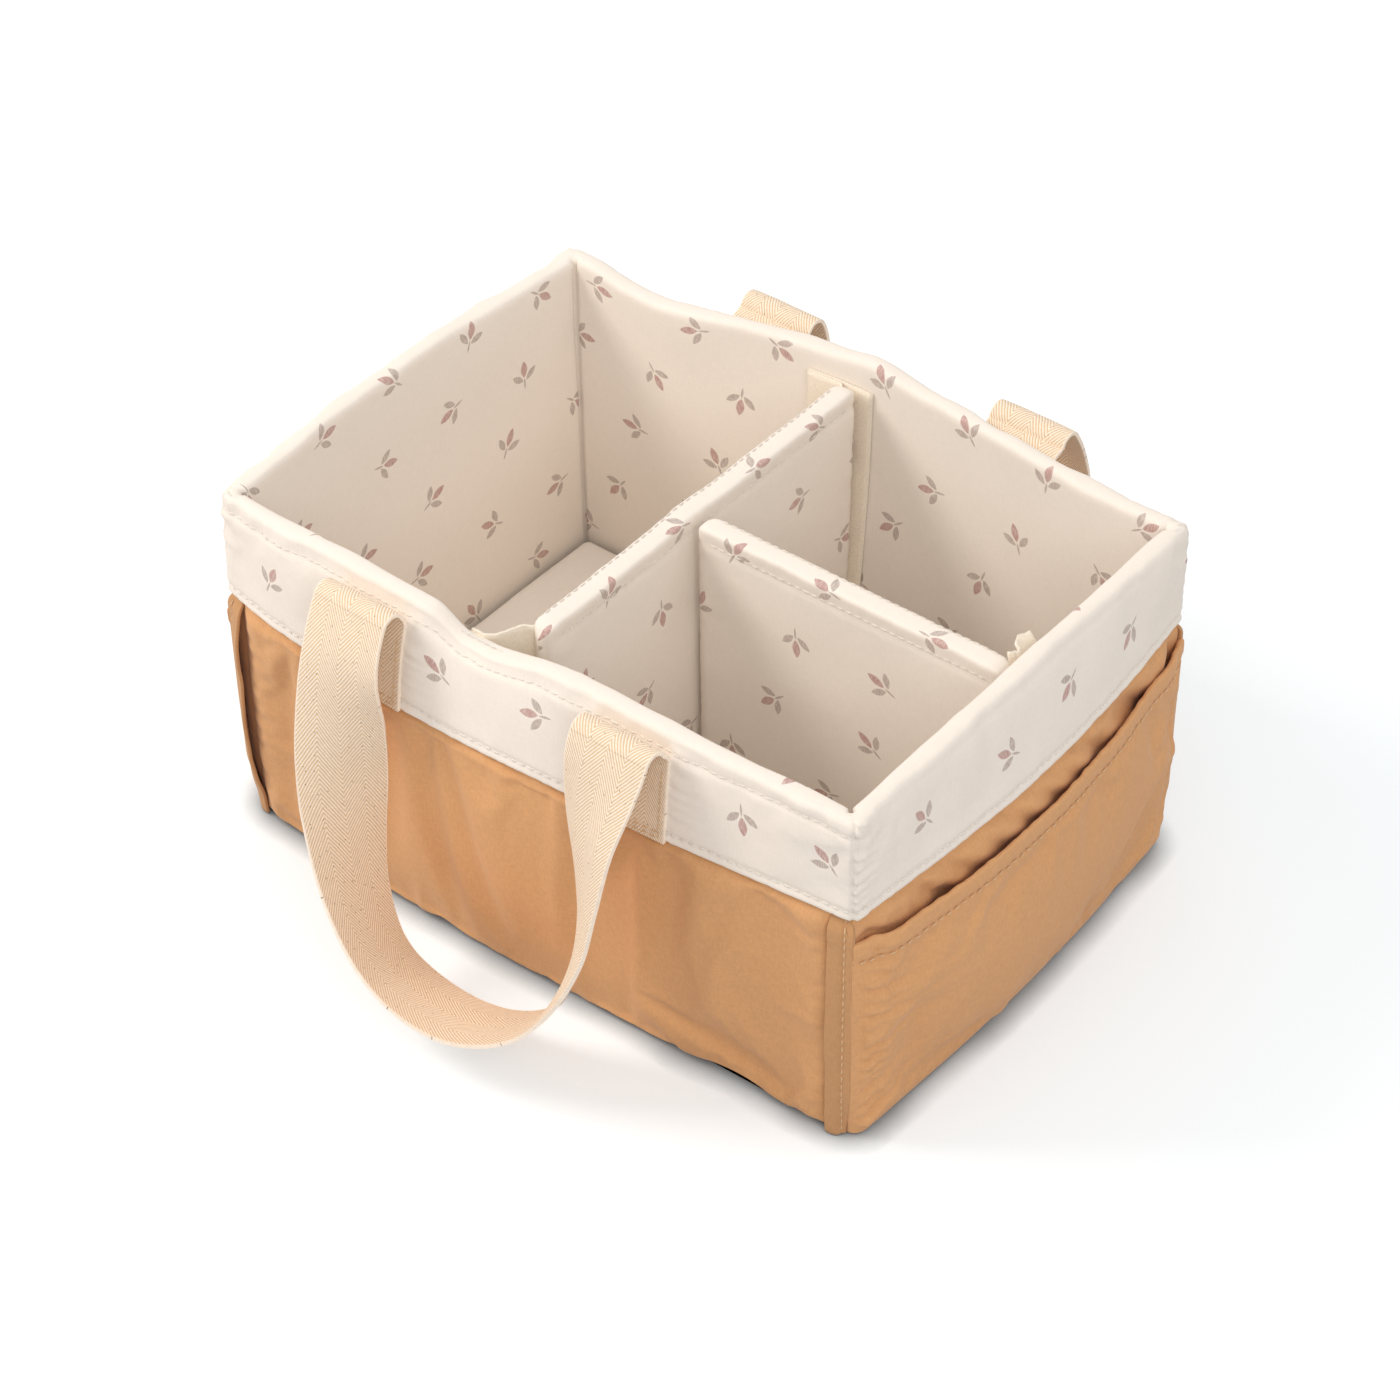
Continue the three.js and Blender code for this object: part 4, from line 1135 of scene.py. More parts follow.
class CADDY_OT_bindings(bpy.types.Operator):
    """Lays a doubled canvas tape along each upright corner seam, on the front or back side of it"""

    bl_idname = "caddy.bindings"
    bl_label = "Corner bindings"

    def execute(self, context):
        stitches = bmesh.new()
        front, _, back, _ = walls()
        for name, wall, way, standing in (("front_right", front, 1, 0.6 * MM), ("front_left", front, -1, 4.5 * MM),
                                          ("back_left", back, 1, 1.0 * MM), ("back_right", back, -1, 0.6 * MM)):
            self.lay(stitches, name, wall, way, standing)
        new_piece("binding_stitching", stitches, "tan_thread", "caddy")
        return {"FINISHED"}

    def lay(self, stitches, name, wall, way, standing):
        """One tape from under the cuff to the floor; standing is how far its free edge lifts off the canvas"""
        size = sizes()
        seed = 31.0 + 5 * way + wall.reach
        top, foot = size.cuff_foot + 3 * MM, 0.9 * MM
        columns, rows = 14, 44
        flat = 2 * MM
        width = flat + size.corner * math.pi / 4
        sewn_at = 0.74

        def spot(across, z, off=0.0):
            """across runs from the free edge at 0 to the corner seam at 1"""
            at = across * width
            s = way * (wall.straight - flat + min(at, flat))
            turn = way * max(0.0, at - flat) / size.corner
            wave = 0.9 * MM * ripple(z / (24 * MM), across, seed) + 0.5 * MM * ripple(z / (9 * MM), across, seed + 1)
            lift = standing * (1 - across) ** 1.5 * smooth(8 * MM, 40 * MM, z) * smooth(top, top - 30 * MM, z)
            hug = -0.7 * MM * bell(across - sewn_at, 0.09)
            # Its top end is tucked in under the cuff
            tucked = smooth(size.cuff_foot - 8 * MM, size.cuff_foot - 1 * MM, z)
            wave *= (1.1 - across) * smooth(0, 10 * MM, z) * (1 - tucked)
            return wall_point(wall, s, turn, -0.6 * MM + 4.2 * MM * tucked, z, 1.0, off + lift + hug + wave)

        bm = grid_mesh(columns, rows, lambda i, j: spot(i / columns, foot + (top - foot) * j / rows),
                       lambda i, j: (width * i / columns, (top - foot) * j / rows))
        face_outwards(bm, wall.out)
        nodes = [f"{name}_corner_binding"]
        piece = new_piece(f"{name}_binding_tape", bm, "binding", "caddy", nodes)
        soften(piece)
        thicken(piece, 1.5 * MM)
        heights = [foot + 2 * MM + (top - foot - 8 * MM) * k / 59 for k in range(60)]
        stitch_line(stitches, lifted_path(lambda z, lift: spot(sewn_at, z, lift), heights), 0.42 * MM, 0.25 * MM)


# Pockets

def pocket_gape(wall, s, z, gape):
    """How far the mouth stands off the wall: most at about a third of its way from the front corner."""
    share = (s / wall.straight * (1 if wall.name == "right" else -1) + 1) / 2
    across = math.sin(math.pi * clamped(share) ** 0.55) ** 0.8
    return gape * max(0.0, across) * max(0.0, z / sizes().pocket_height) ** 2


def pocket_push(wall, s, turn, z, seed):
    size = sizes()
    to_end = wall.straight - abs(s) + (math.pi / 4 - abs(turn)) * size.corner
    push = 0.9 * MM * ripple(s / (38 * MM), z / (60 * MM), seed)
    push += 1.6 * MM * bell(to_end - 17 * MM, 10 * MM) - 1.2 * MM * decay(to_end, 4 * MM)
    push += 1.0 * MM * (crumple(s / (13 * MM), z / (30 * MM), seed + 2) - 0.5) * decay(z, 12 * MM)
    return push


class CADDY_OT_pockets(bpy.types.Operator):
    """Makes the open pocket on each end wall, with its doubled and stitched hem"""

    bl_idname = "caddy.pockets"
    bl_label = "End pockets"

    def execute(self, context):
        stitches = bmesh.new()
        for wall, seed in ((walls()[1], 51.0), (walls()[3], 61.0)):
            self.make(wall, seed, stitches)
        new_piece("pocket_stitching", stitches, "tan_thread", "caddy")
        return {"FINISHED"}

    def make(self, wall, seed, stitches):
        size = sizes()
        gape, hem, foot, over = 5.5 * MM, 11 * MM, 2.5 * MM, -1.6 * MM
        top = size.pocket_height
        columns = wall_columns(wall, CANVAS_STEP)
        last_column = len(columns) - 1
        # Its lower edge turns in under the wall's foot, into the base seam
        rows = [(3.2 * MM, 0.6 * MM), (0.8 * MM, 0.5 * MM), (-0.9 * MM, 1.1 * MM)]
        first_up = len(rows)
        rows += [(over, foot + (top - foot) * j / 38) for j in range(39)]
        mouth = len(rows) - 1
        stitched = mouth - 3
        rows += [(over + 0.3 * MM, top + 0.9 * MM), (over + 1.2 * MM, top + 0.9 * MM), (over + 1.8 * MM, top),
                 (over + 1.9 * MM, top - hem / 2), (over + 1.9 * MM, top - hem)]
        runs = runs_along(rows)
        places, turns, _ = zip(*columns)
        heights = [row[1] for row in rows]

        def place(i, j):
            s, turn, _ = columns[i]
            depth, z = rows[j]
            push = pocket_push(wall, s, turn, z, seed) * smooth(0, 14 * MM, z)
            gaping = pocket_gape(wall, s, z, gape) * max(0.0, math.cos(2 * turn))
            return wall_point(wall, s, turn, depth, z + foot_lift(wall, s, z), 1.0, push + gaping)

        def held(i, j):
            """Sewn along both upright seams and its foot; the doubled hem hardly gives"""
            if min(i, last_column - i) <= 4 or j <= first_up + 1:
                return 1.0
            return 0.85 if j >= mouth - 4 else 0.0

        def pucker(i, j):
            """Drawn-in folds beside the upright seams and the foot, and the sunk line of the hem's stitches"""
            s, z = between(places, i), between(heights, j)
            to_end = wall.straight - abs(s) + (math.pi / 4 - abs(between(turns, i))) * size.corner
            fan = z + (z - top * 0.6) * to_end / (110 * MM)
            off = 3.0 * MM * pleats(fan, 8.2 * MM, seed) * decay(to_end, 13 * MM)
            off += 1.6 * MM * pleats(fan, 19 * MM, seed + 3) * decay(to_end, 30 * MM)
            off *= smooth(1.5 * MM, 7 * MM, to_end) * drawn_in(wall, s)
            off += 0.6 * MM * pleats(s, 11 * MM, seed + 1) * decay(z, 10 * MM)
            off *= smooth(2 * MM, 10 * MM, z) * smooth(mouth + 0.5, mouth - 1.5, j)
            off += 0.25 * MM * pleats(s, 7 * MM, seed + 2) * bell(j - stitched, 2.2)
            off += 0.6 * MM * smooth(stitched, stitched + 0.8, j)
            return off - 0.7 * MM * bell(j - stitched, 0.5)

        bm = grid_mesh(last_column, len(rows) - 1, place, lambda i, j: (columns[i][2], runs[j]))
        face_outwards(bm, wall.out)
        nodes = [f"{wall.name}_pocket"]
        piece = new_piece(f"{wall.name}_pocket_canvas", bm, "canvas", "caddy", nodes)
        settle(piece, wall.out, held, 0.05, lambda i, j: (1.8 * MM, 5 * MM))
        soften(piece)
        press(piece, pucker)
        thicken(piece, CANVAS)
        stitch_line(stitches, row_path(piece, stitched, 2, last_column - 2), 0.5 * MM, 1.1 * MM, 1.3 * MM)


# Floor pad

class CADDY_OT_floor_pad(bpy.types.Operator):
    """Makes the loose floor pad: a board in a cloth cover with soft edges"""

    bl_idname = "caddy.floor_pad"
    bl_label = "Floor pad"

    def execute(self, context):
        low, high = (Vector(corner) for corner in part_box("floor_pad_cover"))
        span = high - low
        bm = rounded_box(span, 5 * MM)
        rims = [e for e in bm.edges if abs(e.verts[0].co.z - e.verts[1].co.z) < 1e-6
                and len({round(f.normal.z) for f in e.link_faces}) > 1]
        bmesh.ops.bevel(bm, geom=rims, offset=4 * MM, affect="EDGES", segments=4, profile=0.5, material=-1)
        for axis in (0, 1):
            cuts = int(span[axis] / (9 * MM))
            for k in range(1, cuts):
                point, normal = Vector(), Vector()
                point[axis] = -span[axis] / 2 + span[axis] * k / cuts
                normal[axis] = 1
                bmesh.ops.bisect_plane(bm, geom=bm.verts[:] + bm.edges[:] + bm.faces[:], plane_co=point,
                                       plane_no=normal)
        bmesh.ops.recalc_face_normals(bm, faces=bm.faces)
        bm.normal_update()
        for vertex in bm.verts:
            x, y, _ = vertex.co
            rim = decay(min(span.x / 2 - abs(x), span.y / 2 - abs(y)), 14 * MM)
            sink = 0.5 * MM * (1 + ripple(x / (40 * MM), y / (40 * MM), 71))
            tuck = 0.5 * MM * rim * crumple(x / (10 * MM), y / (10 * MM), 72)
            vertex.co -= vertex.normal * (sink + tuck) * 0.6
        bmesh.ops.translate(bm, vec=(low + high) / 2, verts=bm.verts)
        uv = bm.loops.layers.uv["cloth"]
        for face in bm.faces:
            for loop in face.loops:
                co = loop.vert.co
                loop[uv].uv = (co.x, co.y) if abs(face.normal.z) > 0.5 else (co.x + co.y, co.z)
        piece = new_piece("floor_pad_cloth", bm, "plain", "floor_pad", ["floor_pad_cover"])
        for node in ("floor_pad_board", "base_board"):
            for slot in frame["nodes"][node].material_slots:
                slot.material = material_of("board")
        return {"FINISHED"}


# Dividers

DIVIDER_HALF = 5.3 * MM
DIVIDER_CROWN = 1.2 * MM
MAIN_SEED = 81.0
CROSS_SEED = 91.0
# Half of the divider's top, as (side, rise) in shares of its half width: a flat band with small rounded edges
DIVIDER_TOP = [(1.0, 0.45), (1.0, 0.66), (0.95, 0.84), (0.85, 0.93), (0.6, 0.97), (0.3, 0.99), (0.0, 1.0)]


def rounded_end(to_end, reach):
    """Height of a quarter circle: 0 at the end, 1 from the reach on."""
    return math.sqrt(max(0.0, 1 - (1 - min(1.0, to_end / reach)) ** 2))


def divider_mesh(length, low, high, seed, lay_shift, stand):
    """A padded panel with a rounded top and ends, made from 0 to its length along X, then stood in its place.

    lay_shift moves the print along it, so that the two panels don't match.
    """
    half = DIVIDER_HALF
    steps = max(20, round(length / (2.2 * MM)))
    shoulder_z = high - half
    heights = [low + (shoulder_z - low) * (k / 60) for k in range(61)]
    outline = [(0.0, low, 0.0), (0.7, low, 0.0)]
    outline += [(1.0, z, 0.0) for z in heights]
    outline += [(side, shoulder_z, rise) for side, rise in DIVIDER_TOP]
    outline += [(-side, shoulder_z, rise) for side, rise in reversed(DIVIDER_TOP[:-1])]
    outline += [(-1.0, z, 0.0) for z in reversed(heights)]
    outline += [(-0.7, low, 0.0), (0.0, low, 0.0)]

    def place(i, j):
        at = length * i / steps
        side, z, top = outline[j]
        to_end = min(at, length - at)
        share = (z - low) / (high - low)
        bulge = DIVIDER_CROWN * math.sin(math.pi * clamped(share)) * math.sin(math.pi * at / length) ** 0.7
        wrinkle = 0.5 * MM * ripple(at / (30 * MM), z / (34 * MM), seed + side)
        upright = crumple(z / (9 * MM), at / (30 * MM), seed + 2 + side) - 0.5
        wrinkle += 0.9 * MM * decay(to_end, 12 * MM) * upright
        level = crumple(at / (8 * MM), z / (20 * MM), seed + 4 + side) - 0.5
        wrinkle += 0.5 * MM * bell(shoulder_z - z, 9 * MM) * level
        stitched = bell(shoulder_z - 2 * MM - z, 1.4 * MM) if top == 0 else 0.0
        width = (half + bulge + wrinkle - 0.6 * MM * stitched) * rounded_end(to_end, 7 * MM)
        lift = (half + 0.4 * MM * ripple(at / (22 * MM), 0, seed + 6)) * top
        shoulder = 6 * MM * (1 - rounded_end(to_end, 8 * MM))
        return Vector((at, side * width, z + lift - shoulder * smooth(low, high, z)))

    runs = [0.0]
    for (s0, z0, t0), (s1, z1, t1) in zip(outline, outline[1:]):
        runs.append(runs[-1] + math.hypot((s1 - s0) * half, z1 - z0 + (t1 - t0) * half))
    bm = grid_mesh(steps, len(outline) - 1, place, lambda i, j: (length * i / steps + lay_shift, runs[j]), closed=True)
    for vertex in bm.verts:
        vertex.co = stand(vertex.co.copy())
    bmesh.ops.recalc_face_normals(bm, faces=bm.faces)
    return bm


class CADDY_OT_dividers(bpy.types.Operator):
    """Makes the two padded panels of the lift-out divider with their topstitching"""

    bl_idname = "caddy.dividers"
    bl_label = "Dividers"

    def execute(self, context):
        low, high = (Vector(corner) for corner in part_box("main_divider_cover"))
        x = (low.x + high.x) / 2
        length = high.y - low.y
        back_at_foot = 112 * MM

        def stand_main(point):
            """From lying along X to standing along Y, its back end following the wall's lean."""
            share = point.x / length
            upright = math.sin(math.pi / 2 * point.z / sizes().height)
            lean = (high.y - back_at_foot - 4 * MM) * (1 - upright)
            kink = -1.2 * MM * bell(point.x + low.y - 3 * MM, 16 * MM) * smooth(low.z, high.z, point.z)
            return Vector((x - point.y + kink, low.y + point.x - lean * share, point.z))

        bm = divider_mesh(length, low.z, high.z, MAIN_SEED, 0.013, stand_main)
        nodes = ["main_divider_cover", "main_divider_padding", "cross_divider_seam_tape"]
        piece = new_piece("main_divider_panel", bm, "printed", "divider_insert", nodes)

        cross_low, cross_high = (Vector(corner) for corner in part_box("cross_divider_cover"))
        reach = cross_high.x - cross_low.x
        start = Vector((cross_low.x + 0.2 * MM, (cross_low.y + cross_high.y) / 2, 0))

        def stand_cross(point):
            return start + point

        bm = divider_mesh(reach, cross_low.z, cross_high.z, CROSS_SEED, 0.031, stand_cross)
        nodes = ["cross_divider_cover", "cross_divider_padding"]
        piece = new_piece("cross_divider_panel", bm, "printed", "cross_divider", nodes)
        self.sew("main_divider_stitching", "divider_insert", stand_main, length, high.z, MAIN_SEED)
        self.sew("cross_divider_stitching", "cross_divider", stand_cross, reach, high.z, CROSS_SEED)
        return {"FINISHED"}

    def sew(self, name, body, stand, length, top, seed):
        """A row of stitches along the panel's top and one down its far side."""
        half = DIVIDER_HALF
        stitches = bmesh.new()
        for side, drop, lift in ((0.74, 0.1 * MM, 0.25 * MM), (-1.0, half + 2 * MM, 0.1 * MM)):
            def place(at, off):
                z = top - drop + 0.4 * MM * ripple(at / (22 * MM), 0, seed + 6)
                return stand(Vector((at, side * half, z + off) if side > 0 else (at, side * (half + off), z)))

            path = lifted_path(place, [9 * MM + (length - 18 * MM) * k / 99 for k in range(100)])
            stitch_line(stitches, path, 0.38 * MM, lift)
        new_piece(name, stitches, "white_thread", body)


# Hook and loop tape

TAPE = 1.1 * MM


def along_line(line, share):
    """The point at a share of a line's length, and the line's direction there."""
    want = sum((b - a).length for a, b in zip(line, line[1:])) * share
    for a, b in zip(line, line[1:]):
        step = (b - a).length
        if want <= step or b is line[-1]:
            return a.lerp(b, min(1.0, want / step)), (b - a).normalized()
        want -= step


def tape_strip(name, path, low, high, body, nodes, seed, fray, sewn=None):
    """A strip of tape on edge: path(z) gives its line in plan; the free end and the top fray a little.

    sewn, when given, makes the strip a tab: finer along, on no body, with its place baked in; the body and the two
    bend places it holds are not used.
    """
    rows = 56
    count = 20 if sewn else 14
    length = sum((b - a).length for a, b in zip(path(high), path(high)[1:]))

    def place(i, j):
        z = low + (high - low) * j / rows
        spot, way = along_line(path(z), i / count)
        tip = 0.6 * ripple(z / (9 * MM), i / 3, seed) * smooth(0.8, 1.0, i / count)
        top = 0.5 * ripple(i / 2.0, z / (20 * MM), seed + 1) * smooth(0.95, 1.0, j / rows)
        spot = spot + Vector((-way.y, way.x)) * (fray * (tip + top))
        rough = fray * 0.4 * ripple(i * 0.45, j * 0.9, seed + 2) * (1.0 if j == rows else 0.0)
        return Vector((spot.x, spot.y, z + rough))

    bm = grid_mesh(count, rows, place, lambda i, j: (length * i / count, (high - low) * j / rows))
    bmesh.ops.recalc_face_normals(bm, faces=bm.faces)
    piece = new_piece(name, bm, "tape", None if sewn else body, nodes)
    thicken(piece, TAPE, 0.0)
    if sewn:
        carrier, start, end = sewn
        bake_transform(piece)
        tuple(start)
        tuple(end)


class CADDY_OT_tapes(bpy.types.Operator):
    """Makes the loop tape down the walls and the hook tabs on the divider's ends"""

    bl_idname = "caddy.tapes"
    bl_label = "Hook and loop tape"

    def execute(self, context):
        front, right, back, _ = walls()
        low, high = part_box("front_loop_tape")
        # The loop tape reaches further on the side that the tab lies on
        tab_side, other_side = 25 * MM, 11 * MM
        main_x, cross_y = -10 * MM, 3 * MM
        on_wall = sizes().wall + SEAM + 0.6 * MM
        over_tape = on_wall + 0.6 * MM + SEAM + 0.75 * MM

        def on(wall, along, depth, z):
            return wall_point(wall, along, 0.0, depth, z, 0.0).xy

        for wall, centre, way in ((front, main_x, -1), (back, -main_x, 1), (right, cross_y, 1)):
            def line(z):
                return [on(wall, centre + way * away, on_wall, z) for away in (-other_side, 0, tab_side / 2, tab_side)]

            node = f"{wall.name}_loop_tape"
            tape_strip(f"{node}_strip", line, low[2], high[2], "caddy", [node], 101.0, 0.3 * MM)

        # Each tab starts inside the end of its panel and bends just off it, where it is sewn down
        tab_low, tab_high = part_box("front_hook_tab")
        root_z = (tab_low[2] + tab_high[2]) / 2
        front_root = Vector((tab_high[0] + 2.3 * MM, tab_high[1] + 1.6 * MM))
        front_axis = Vector((tab_high[0] - 1.1 * MM, tab_high[1] - 1.4 * MM))

        def front_line(z):
            foot, bend = (on(front, main_x + away, over_tape, z) for away in (-24 * MM, -16 * MM))
            return [front_root, front_axis, bend + Vector((2.5 * MM, 2.5 * MM)), bend, foot]

        def back_line(z):
            flat = [on(back, -main_x + away, over_tape, z) for away in (5.9 * MM, 12 * MM, 18 * MM, 23.5 * MM)]
            return [flat[0] + Vector((2.6 * MM, -2.9 * MM))] + flat

        def right_line(z):
            # It curls away from the wall, but only above the divider's top by much
            slack, curl = smooth(100 * MM, 160 * MM, z), smooth(173 * MM, 179 * MM, z)
            flat = [on(right, cross_y + away * MM, over_tape + near * MM * slack + far * MM * curl, z)
                    for away, near, far in ((6.5, 0.0, 1), (10.5, 0.3, 5), (15, 0.6, 7), (20.6, 1, 4))]
            return [flat[0] - Vector((3.6 * MM, 3.4 * MM))] + flat

        front_bends = (front_root.lerp(front_axis, 0.4), front_axis - Vector((0.7 * MM, 1.3 * MM)))
        back_bends = ((main_x - 4.6 * MM, 118 * MM), (main_x - 7.4 * MM, 118 * MM))
        right_bends = ((162 * MM, cross_y + 4.6 * MM), (162 * MM, cross_y + 7.8 * MM))
        for side, line, taller, seed, fray, carrier, bends in (
            ("front", front_line, 1 * MM, 111.0, 1.6 * MM, "divider_insert", front_bends),
            ("back", back_line, 0.0, 121.0, 1.0 * MM, "divider_insert", back_bends),
            ("right", right_line, 7 * MM, 131.0, 2.4 * MM, "cross_divider", right_bends),
        ):
            tab = f"{side}_hook_tab"
            tape_strip(f"{tab}_tape", line, tab_low[2], tab_high[2] + taller, tab, [tab], seed, fray,
                       (carrier, *((*bend, root_z) for bend in bends)))
        return {"FINISHED"}


# Handles

# The loop's way from its left fold to its right one: across between the sewn ends, out from the fold and down, as
# shares; then how far its width has turned in plan and dips, in degrees
LOOP_SHARES = [
    (0.013, 0.35, 0.12, 4, 0), (0.016, 0.42, 0.30, 25, 0), (0.027, 0.50, 0.48, 50, -5), (0.070, 0.64, 0.65, 74, -11),
    (0.151, 0.82, 0.81, 89, -19), (0.285, 0.96, 0.94, 96, -22), (0.477, 1.00, 1.00, 94, -18),
    (0.680, 0.96, 0.99, 94, -17), (0.854, 0.82, 0.91, 98, -17), (0.937, 0.66, 0.76, 113, -9),
    (0.975, 0.53, 0.58, 130, -4), (0.982, 0.45, 0.40, 142, -3), (0.984, 0.37, 0.22, 156, -2),
]
HANDLE_SPREAD = 142 * MM
HANDLE_REACH = 46 * MM
HANDLE_DROP = 158 * MM
FOLD_RADIUS = 6 * MM
FOLD_START = math.radians(12)
FOLD_TURN = math.radians(150)
WEBBING = 1.7 * MM


def spline(points, share, ways):
    """A point of the smooth curve through a list of points, share running from 0 to 1; ways are its end directions."""
    count = len(points) - 1
    at = min(count - 1e-9, max(0.0, share * count))
    i = int(at)
    t = at - i
    p1, p2 = points[i], points[i + 1]
    p0 = points[i - 1] if i > 0 else p2 - ways[0] * 2 * (p2 - p1).length
    p3 = points[i + 2] if i + 2 <= count else p1 + ways[1] * 2 * (p2 - p1).length
    return 0.5 * ((2 * p1) + (p2 - p0) * t + (2 * p0 - 5 * p1 + 4 * p2 - p3) * t * t
                  + (3 * p1 - p0 - 3 * p2 + p3) * t ** 3)


class Handle:
    """One webbing handle as it lies at the front; the back one is the same turned half round."""

    def __init__(self, side):
        joint = next(j for j in frame["joints"] if j["name"] == f"{side}_handle_swing")
        _, y, z = joint["pos_m"]
        self.side = side
        self.wall = walls()[0] if side == "front" else walls()[2]
        self.turn = Matrix.Identity(3) if side == "front" else Matrix.Rotation(math.pi, 3, "Z")
        self.centre = -6 * MM
        self.axis_y = -abs(y)
        self.axis_z = z
        self.half = sizes().webbing / 2

    def place(self, point):
        return self.turn @ point

    def on_cuff(self, x, z, off=0.0):
        """A place on the cuff under the handle's sewn end, as if it lay at the front."""
        point = wall_point(self.wall, x, 0.0, -0.9 * MM - off, z)
        return point if self.side == "front" else self.turn.inverted() @ point

    def fold_point(self, x, turn):
        return Vector((x, self.axis_y + FOLD_RADIUS * math.cos(turn), self.axis_z + FOLD_RADIUS * math.sin(turn)))

    def sewn_sections(self, x, foot, edge):
        """Up the cuff, then over to the fold, which meets the sewn end a little above its stitching."""
        rows, bridge = 26, 5
        heights = [foot + (self.axis_z - 3 * MM - foot) * k / rows for k in range(rows + 1)]
        sections = [(self.on_cuff(x - edge.x, z), self.on_cuff(x + edge.x, z)) for z in heights]
        last = sections[-1]
        lip = self.fold_point(x, FOLD_START)
        for k in range(1, bridge + 1):
            t = k / bridge
            lift = Vector((0, 0, 1.2 * MM * math.sin(math.pi * t)))
            sections.append((last[0].lerp(lip - edge, t) + lift, last[1].lerp(lip + edge, t) + lift))
        return sections

    def fold_sections(self, x, edge):
        steps = 12
        turns = [FOLD_START + (FOLD_TURN - FOLD_START) * k / steps for k in range(steps + 1)]
        return [(self.fold_point(x, turn) - edge, self.fold_point(x, turn) + edge) for turn in turns]

    def loop_edges(self):
        """The loop's two edge curves through the listed stations."""
        left = self.centre - HANDLE_SPREAD / 2
        across = Vector((1, 0, 0))
        knots = [(self.fold_point(left, FOLD_TURN), across)]
        for along, out, down, turn, dip in LOOP_SHARES:
            plan, tilt = math.radians(turn), math.radians(dip)
            middle = Vector((left + along * HANDLE_SPREAD, self.axis_y - out * HANDLE_REACH,
                             self.axis_z - down * HANDLE_DROP))
            width = Vector((math.cos(plan) * math.cos(tilt), math.sin(plan) * math.cos(tilt), math.sin(tilt)))
            knots.append((middle, width))
        knots.append((self.fold_point(left + HANDLE_SPREAD, FOLD_TURN), -across))
        return [[middle + width * way * self.half for middle, width in knots] for way in (-1, 1)]

    def loop_sections(self):
        one, other = self.loop_edges()
        count = 200
        leaving = Vector((0, -math.sin(FOLD_TURN), math.cos(FOLD_TURN)))
        sections = []
        for k in range(count + 1):
            a, b = (spline(edge, k / count, (leaving, -leaving)) for edge in (one, other))
            middle, way = (a + b) / 2, (b - a).normalized()
            sections.append((middle - way * self.half, middle + way * self.half))
        return sections


def webbing_piece(name, sections, start_run, body, nodes, handle):
    """A stretch of webbing through sections of (one edge, other edge), with a slight round to its selvedges."""
    count = 20
    runs = [start_run]
    for (a0, b0), (a1, b1) in zip(sections, sections[1:]):
        runs.append(runs[-1] + ((a1 + b1) - (a0 + b0)).length / 2)
    total = len(sections) - 1

    def place(i, j):
        one, other = sections[j]
        before, after = sections[max(0, j - 1)], sections[min(total, j + 1)]
        forward = (after[0] + after[1] - before[0] - before[1]).normalized()
        face = forward.cross(other - one).normalized()
        share = i / count
        cup = 0.35 * MM * (1 - (2 * share - 1) ** 2)
        waviness = 0.25 * MM * ripple(runs[j] / (18 * MM), share * 2, 141)
        # The selvedges are a little uneven
        fray = 0.12 * MM * ripple(runs[j] / (6 * MM), share, 151) * (abs(2 * share - 1) > 0.99)
        return handle.place(one.lerp(other, share) + face * (cup + waviness) + (other - one).normalized() * fray)

    bm = grid_mesh(count, total, place, lambda i, j: (2 * handle.half * i / count, runs[j]))
    piece = new_piece(name, bm, "webbing", body, nodes)
    thicken(piece, WEBBING, 0.0)
    apply_modifiers(piece)
    # The cut edges stay crisp, so that the cloth runs on smoothly from piece to piece
    piece.data.set_sharp_from_angle(angle=math.radians(50))
    return piece, runs[-1]


